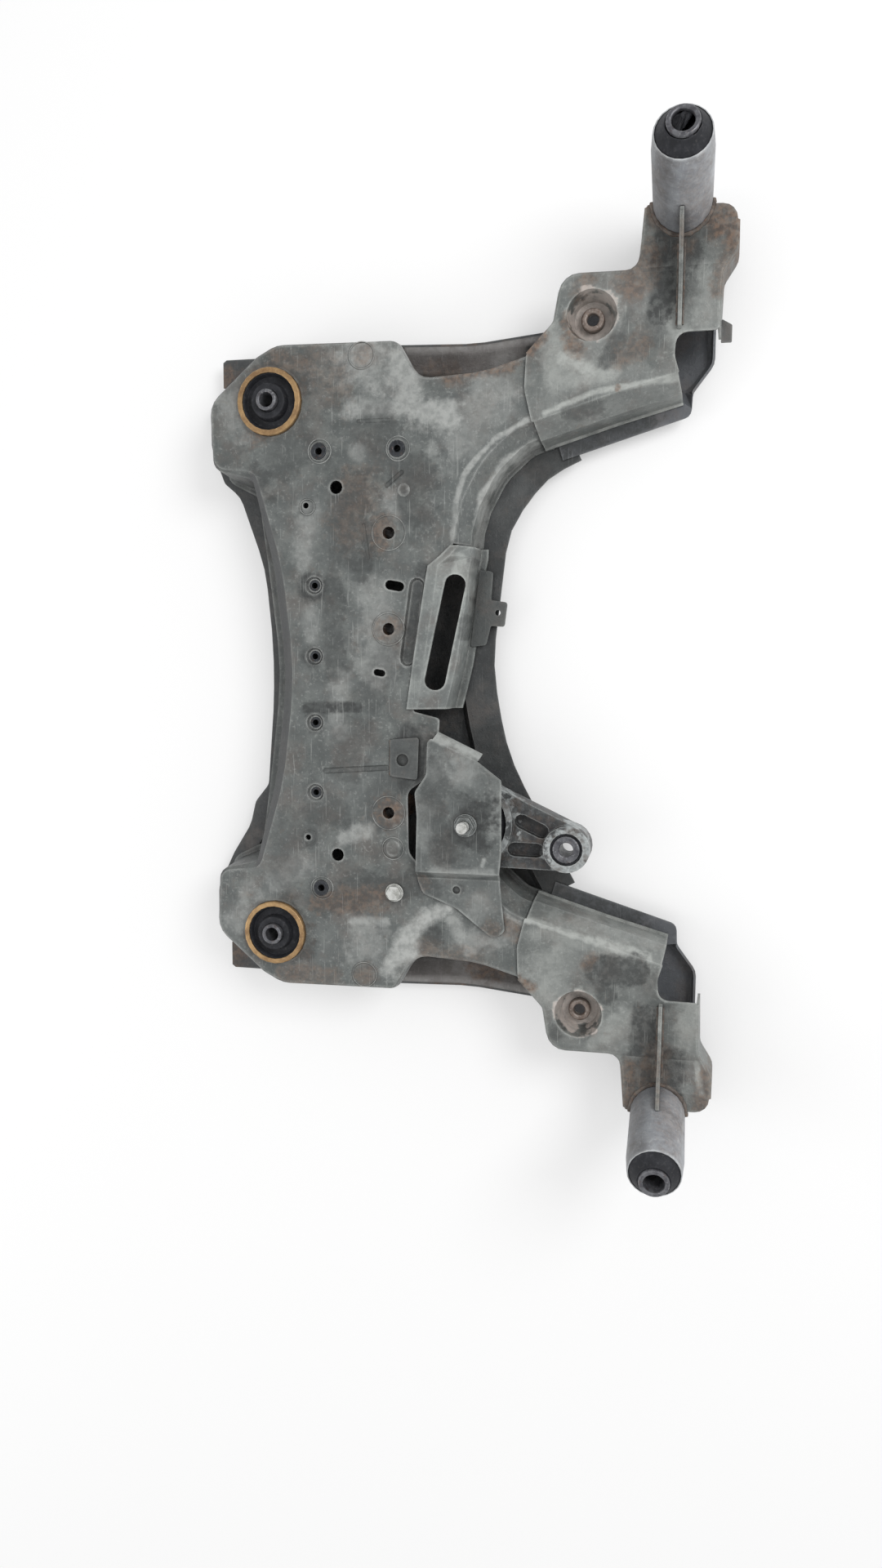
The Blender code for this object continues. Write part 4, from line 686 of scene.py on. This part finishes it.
class SUBFRAME_OT_shells(bpy.types.Operator):
    """Rounds the bends of the two main pressings and paints them"""
    bl_idname = "subframe.shells"
    bl_label = "Main Pressings"

    def execute(self, context):
        look = context.scene.subframe_look
        # The deck: satin grey paint, most dulled and rubbed, as it takes spray and hands, with
        # painted highlights on its bends and painted shade on its rear walls, steps and corners.
        top = dipped_sheet("dip_painted_deck_steel", ("#505453", "#636766", "#7b7f7c", "#b4b6b3"),
                           0.75, look.rust, look.dust, DECK_SCUFF_AND_SHEEN, DECK_DIRT_AND_SHADE, DECK_BROWN,
                           shapes=DECK_STAMPED, rear_face_shade=0.8)
        paint(rounded_copy("upper_shell", look.fold, look.rim, SHEET), top)
        # The floor: the same paint in darker tones, partly from oil and dirt and partly painted
        # shade, with painted shadow where it meets the arms.
        low = dipped_sheet("dip_painted_floor_steel", ("#3a3c3d", "#444647", "#555757", "#727473"),
                           0.35, look.rust, look.dust * 0.8, FLOOR_LIGHT, FLOOR_DIRT_AND_SHADE,
                           FLOOR_BROWN, corner_shade_tone="#2c2d2e", corner_shade=0.45)
        paint(rounded_copy("lower_shell", look.fold * 0.8, look.rim, SHEET), low)
        # The sloping strips: paint under dried mud, so paler, warmer and matt.
        mud = dipped_sheet("muddy_flange_steel", ("#666260", "#777472", "#878482", "#a09e9c"),
                           0.3, look.rust, look.dust, FLANGE_LIGHT, FLANGE_DARK, FLANGE_BROWN,
                           corner_shade_tone="#2f2c2a", corner_shade=0.3)
        for side, s in SIDES:
            side_slope(side, s, mud)
        for ring in DECK_RINGS:
            stamped_ring(*ring, top)
        for pip in DECK_PIPS:
            stamped_pip(*pip, top)
        return {"FINISHED"}


class SUBFRAME_OT_arms(bpy.types.Operator):
    """Rounds and paints the arm pressings, tubes and ribs"""
    bl_idname = "subframe.arms"
    bl_label = "Arms and Tubes"

    def execute(self, context):
        look = context.scene.subframe_look
        # The arms' upper pressings: paler paint, rubbed along the bends, which carry painted
        # highlights, with painted shadow beside the ribs, brown round the cups and painted pale
        # inside them.
        top = dipped_sheet("dip_painted_arm_steel", ("#606462", "#787b79", "#8e918e", "#b0b3af"),
                           0.85, look.rust, look.dust, ARM_SCUFF_AND_SHEEN, ARM_DIRT_AND_SHADE, ARM_BROWN, ARM_LIT_CUPS,
                           corner_shade_tone="#383533", corner_shade=0.3)
        # The arms' lower pressings: sheltered, so even and bluish, with little rust.
        low = dipped_sheet("dip_painted_trough_steel",
                           ("#54565a", "#626569", "#707276", "#8c8f92"), 0.3, look.rust * 0.5,
                           look.dust * 0.6, dark=TROUGH_DARK, brown=TROUGH_BROWN,
                           corner_shade_tone="#26282b", corner_shade=0.3)
        # The tubes: pale bluish paint, rusty at the foot, with painted highlights on the rims and
        # painted shade on the sides that face the rear.
        tube = dipped_sheet("dip_painted_tube_steel", ("#8c8f94", "#a3a6aa", "#b5b8bb", "#d4d7d8"),
                            0.9, look.rust * 0.4, look.dust, brown=TUBE_BROWN, corner_shade_tone="#2e2d2e",
                            rear_face_shade=0.40)
        for side, _ in SIDES:
            paint(rounded_copy(f"arm_upper_{side}", look.fold, look.rim, SHEET), top)
            paint(rounded_copy(f"arm_lower_{side}", look.fold * 0.7, look.rim, SHEET), low)
            paint(rounded_copy(f"horn_tube_{side}", 0.0006, 0.0006), tube)
            paint(rounded_copy(f"horn_gusset_{side}", 0.0008, 0.0008), top)
        return {"FINISHED"}


class SUBFRAME_OT_bushes(bpy.types.Operator):
    """Finishes the bonded bushes of the body mounts, the rear corners and the torque rod"""
    bl_idname = "subframe.bushes"
    bl_label = "Bonded Bushes"

    def execute(self, context):
        rubber = moulded_rubber("moulded_natural_rubber")
        steel = turned_steel("turned_bush_steel", "#6f7074", "#b4b5b6", "#4a4a4f", 0.4, 0.2, 0.9)
        gold = passivated_zinc("yellow_passivated_zinc")
        for side, _ in SIDES:
            for part, material, slot in (("horn_rubber", rubber, "bush_rubber"),
                                         ("horn_sleeve", steel, "bush_steel"),
                                         ("rear_bush_ring", gold, "passivated_steel"),
                                         ("rear_bush_rubber", rubber, "bush_rubber"),
                                         ("rear_bush_sleeve", steel, "bush_steel")):
                paint(rounded_copy(f"{part}_{side}", 0.0008, 0.0008), material)
        for name in ("rod_rubber_large", "rod_rubber_small"):
            paint(rounded_copy(name, 0.0010, 0.0010), rubber)
        for name in ("rod_core_large", "rod_core_small"):
            paint(rounded_copy(name, 0.0008, 0.0008), steel)
        return {"FINISHED"}


class SUBFRAME_OT_middle(bpy.types.Operator):
    """Finishes the slotted reinforcement, the brackets and the cover plate"""
    bl_idname = "subframe.middle"
    bl_label = "Plates and Brackets"

    def execute(self, context):
        look = context.scene.subframe_look
        # The cover plate: the deck's paint, darker round the nut, with a painted highlight along
        # its lip.
        plate = dipped_sheet("dip_painted_cover_steel",
                             ("#505453", "#626665", "#767a78", "#a8aba8"), 0.8, look.rust,
                             look.dust, PLATE_SCUFF_AND_SHEEN, PLATE_DARK, PLATE_BROWN, corner_shade_tone="#2a2a2a")
        # The slotted reinforcement: a clean and pale slope, worn bright along its edges, which
        # also carry painted highlights.
        slope = dipped_sheet("dip_painted_slope_steel",
                             ("#676b6a", "#7e8280", "#949895", "#b4b8b4"), 0.95,
                             look.rust * 0.5, look.dust, SLOPE_LIGHT, SLOPE_DARK, corner_shade_tone="#2c2d2d")
        # The small brackets: even dark paint that nothing rubs.
        bracket = dipped_sheet("dip_painted_bracket_steel",
                               ("#454849", "#545756", "#646765", "#7d7f7d"), 0.45, look.rust,
                               look.dust * 0.7, dark=BRACKET_DARK, corner_shade_tone="#222324")
        paint(rounded_copy("mount_cover_plate", 0.0030, look.rim, SHEET), plate)
        paint(rounded_copy("slot_reinforcement", 0.0035, look.rim, SHEET), slope)
        for name in ("weld_nut_bracket", "clip_bracket", "arm_tab_bracket"):
            paint(rounded_copy(name, 0.0004, 0.0004), bracket)
        return {"FINISHED"}


class SUBFRAME_OT_rod(bpy.types.Operator):
    """Finishes the torque rod's casting"""
    bl_idname = "subframe.rod"
    bl_label = "Torque Rod"

    def execute(self, context):
        cast = cast_aluminium("sand_cast_aluminium")
        paint(rounded_copy("torque_rod_body", 0.0016, 0.0016), cast)
        return {"FINISHED"}


class SUBFRAME_OT_fixings(bpy.types.Operator):
    """Finishes the bolts, nuts, inserts and spacers"""
    bl_idname = "subframe.fixings"
    bl_label = "Bolts and Nuts"

    def execute(self, context):
        # Zinc plate is nearly white; oxide dulls and browns bare steel, and grime blackens it.
        bright = turned_steel("zinc_plated_bolt_steel", "#cfd0cd", "#f0f0ee", "#9c9d97", 0.35, 0.1)
        dull = turned_steel("oxidised_nut_steel", "#93877f", "#cdc8c2", "#685b53", 0.25, 0.5, 0.8)
        dark = turned_steel("grimed_nut_steel", "#36393d", "#63666a", "#24262a", 0.4, 0.3)
        worn_and_highlit = turned_steel("grey_nut_steel", "#7b7f7e", "#b9bcba", "#4c4f4f", 0.3, 0.2, 0.9)
        rusty = turned_steel("rusted_tube_steel", "#5b4636", "#77604f", "#382c25", 0.2, 0.9)
        for name in ("torque_rod_bolt", "deck_bolt"):
            paint(rounded_copy(name, 0.0006, 0.0006), bright)
        for side, _ in SIDES:
            paint(rounded_copy(f"control_arm_nut_{side}", 0.0006, 0.0006), dull)
        paint(rounded_copy("torque_rod_nut", 0.0006, 0.0006), worn_and_highlit)
        for name in [n for n in NODES if n.startswith(("collar_nut", "threaded_insert"))]:
            paint(rounded_copy(name, 0.0003, 0.0003), dark)
        for name in [n for n in NODES if n.startswith("rack_spacer")]:
            paint(NODES[name], rusty)
        for side, _ in SIDES:
            paint(NODES[f"rear_bush_housing_{side}"], dark)
        return {"FINISHED"}


class SUBFRAME_OT_welds(bpy.types.Operator):
    """Lays the weld beads round the tubes, ribs and brackets"""
    bl_idname = "subframe.welds"
    bl_label = "Welds"

    def execute(self, context):
        size = context.scene.subframe_look.weld
        material = arc_weld("arc_weld_steel")
        # Each tube leans outwards, so its foot is an ellipse, whose inner half is welded.
        tube_x, tube_y, tube_radius, lean = 0.228, 0.4487, 0.0285, math.radians(12.2)
        tube_foot, half, turn = 0.0786, 16, 5.75
        # Each rib is welded along both faces of its foot.
        rib_faces, rib_foot, rib_start, rib_step, rib_points = (
            (0.2252, 0.2308), 0.0783, 0.340, 0.0026, 29)
        for side, s in SIDES:
            ring = []
            for k in range(-half, half + 1):
                t = math.radians(-90 * s + turn * k)
                x = tube_x + tube_radius * math.cos(t)
                y = s * tube_y + tube_radius / math.cos(lean) * math.sin(t)
                ring.append(Vector((x, y, tube_foot + arm_rise(y))))
            bead(f"tube_weld_{side}", ring, size, material)
            for k, x in enumerate(rib_faces):
                foot = [Vector((x, s * y, rib_foot + arm_rise(y)))
                        for y in [rib_start + rib_step * i for i in range(rib_points)]]
                bead(f"rib_weld_{side}_{k}", foot, size * 0.5, material)
        # The nut's plate has one weld, along its edge towards the rear.
        start, end = Vector((-0.0615, -0.0690, 0.0757)), Vector((-0.0615, -0.1070, 0.0757))
        steps = 13
        edge = [start.lerp(end, k / steps) for k in range(steps + 1)]
        bead("nut_plate_weld", edge, size * 0.6, material)
        return {"FINISHED"}


class SUBFRAME_OT_stage(bpy.types.Operator):
    """Builds the floor, the lights and the camera"""
    bl_idname = "subframe.stage"
    bl_label = "Studio"

    def execute(self, context):
        scene, studio = context.scene, context.scene.subframe_studio
        scene.view_settings.view_transform = "Standard"
        bpy.ops.mesh.primitive_plane_add(size=14, location=(0, 0, -0.0004))
        floor = context.object
        floor.name = "studio_floor"
        material, tree, shader, _ = finish("white_studio_floor", 0.9)
        shader.inputs["Base Color"].default_value = (*studio.floor, 1)
        shader.inputs["Specular IOR Level"].default_value = 0.1
        path = tree.nodes.new("ShaderNodeLightPath")
        seen = node(tree, "ShaderNodeMath", {0: path.outputs["Is Camera Ray"],
                                             1: path.outputs["Is Glossy Ray"]},
                    operation="MAXIMUM")
        seen = node(tree, "ShaderNodeMath", {0: seen, 1: path.outputs["Is Transmission Ray"]},
                    operation="MAXIMUM")
        share = node(tree, "ShaderNodeMath", {0: seen, 1: studio.glow}, operation="MULTIPLY")
        glow = node(tree, "ShaderNodeEmission", {"Color": (1, 1, 1, 1), "Strength": 1.0})
        both = node(tree, "ShaderNodeMixShader", {0: share, 1: shader.outputs[0], 2: glow})
        tree.links.new(both, tree.nodes["Material Output"].inputs["Surface"])
        floor.data.materials.append(material)
        world = bpy.data.worlds.new("white_dome")
        world.use_nodes = True
        dome = world.node_tree.nodes["Background"]
        dome.inputs["Color"].default_value = (1, 1, 1, 1)
        path = world.node_tree.nodes.new("ShaderNodeLightPath")
        strength = node(world.node_tree, "ShaderNodeMath",
                        {0: path.outputs["Is Camera Ray"], 1: 1 - studio.sky, 2: studio.sky},
                        operation="MULTIPLY_ADD")
        world.node_tree.links.new(strength, dome.inputs["Strength"])
        scene.world = world
        for name, at, size, power in (("key_box", (1.5, 0.9, 1.9), 1.2, studio.key),
                                      ("rim_box", (-1.6, -0.6, 1.3), 1.4, studio.key * 0.28)):
            bpy.ops.object.light_add(type="AREA", location=at)
            lamp = context.object
            lamp.name = name
            lamp.data.shape = "DISK"
            lamp.data.size = size
            lamp.data.energy = power
            aim = Vector((0, 0, 0.05)) - Vector(at)
            lamp.rotation_euler = aim.to_track_quat("-Z", "Y").to_euler()
        bpy.ops.object.camera_add()
        camera = context.object
        camera.name = "photo_camera"
        # Its place and turn come from pairs of features that are alike on both sides.
        turn = Matrix(((0.9775039614, -0.0287583898, 0.2089472672),
                       (0.0055125406, 0.9938058768, 0.1109932031),
                       (-0.2108450078, -0.1073444654, 0.9716077132)))
        camera.matrix_world = Matrix.Translation((0.243, 0.01784, 1.235)) @ turn.to_4x4()
        camera.data.sensor_fit = "VERTICAL"
        camera.data.sensor_height = 36
        camera.data.lens = 25.875
        camera.data.clip_start = 0.01
        scene.camera = camera
        return {"FINISHED"}


class SUBFRAME_PT_panel(bpy.types.Panel):
    """Sizes, finishes and studio of the subframe"""
    bl_label = "Weathered Subframe"
    bl_idname = "SUBFRAME_PT_panel"
    bl_space_type = "VIEW_3D"
    bl_region_type = "UI"
    bl_category = "Subframe"

    def draw(self, context):
        for group in (context.scene.subframe_look, context.scene.subframe_studio):
            for key in group.__annotations__:
                self.layout.prop(group, key)
        for step in ("shells", "arms", "bushes", "middle", "rod", "fixings", "welds", "stage"):
            self.layout.operator("subframe." + step)


CLASSES = (SubframeLook, SubframeStudio, SUBFRAME_OT_shells, SUBFRAME_OT_arms,
           SUBFRAME_OT_bushes, SUBFRAME_OT_middle, SUBFRAME_OT_rod, SUBFRAME_OT_fixings,
           SUBFRAME_OT_welds, SUBFRAME_OT_stage, SUBFRAME_PT_panel)


def register():
    for cls in CLASSES:
        bpy.utils.register_class(cls)
    bpy.types.Scene.subframe_look = bpy.props.PointerProperty(type=SubframeLook)
    bpy.types.Scene.subframe_studio = bpy.props.PointerProperty(type=SubframeStudio)


def unregister():
    del bpy.types.Scene.subframe_studio
    del bpy.types.Scene.subframe_look
    for cls in reversed(CLASSES):
        bpy.utils.unregister_class(cls)


def main():
    register()
    bpy.ops.subframe.shells()
    bpy.ops.subframe.arms()
    bpy.ops.subframe.bushes()
    bpy.ops.subframe.middle()
    bpy.ops.subframe.rod()
    bpy.ops.subframe.fixings()
    bpy.ops.subframe.welds()
    bpy.ops.subframe.stage()


if __name__ == "__main__":
    main()
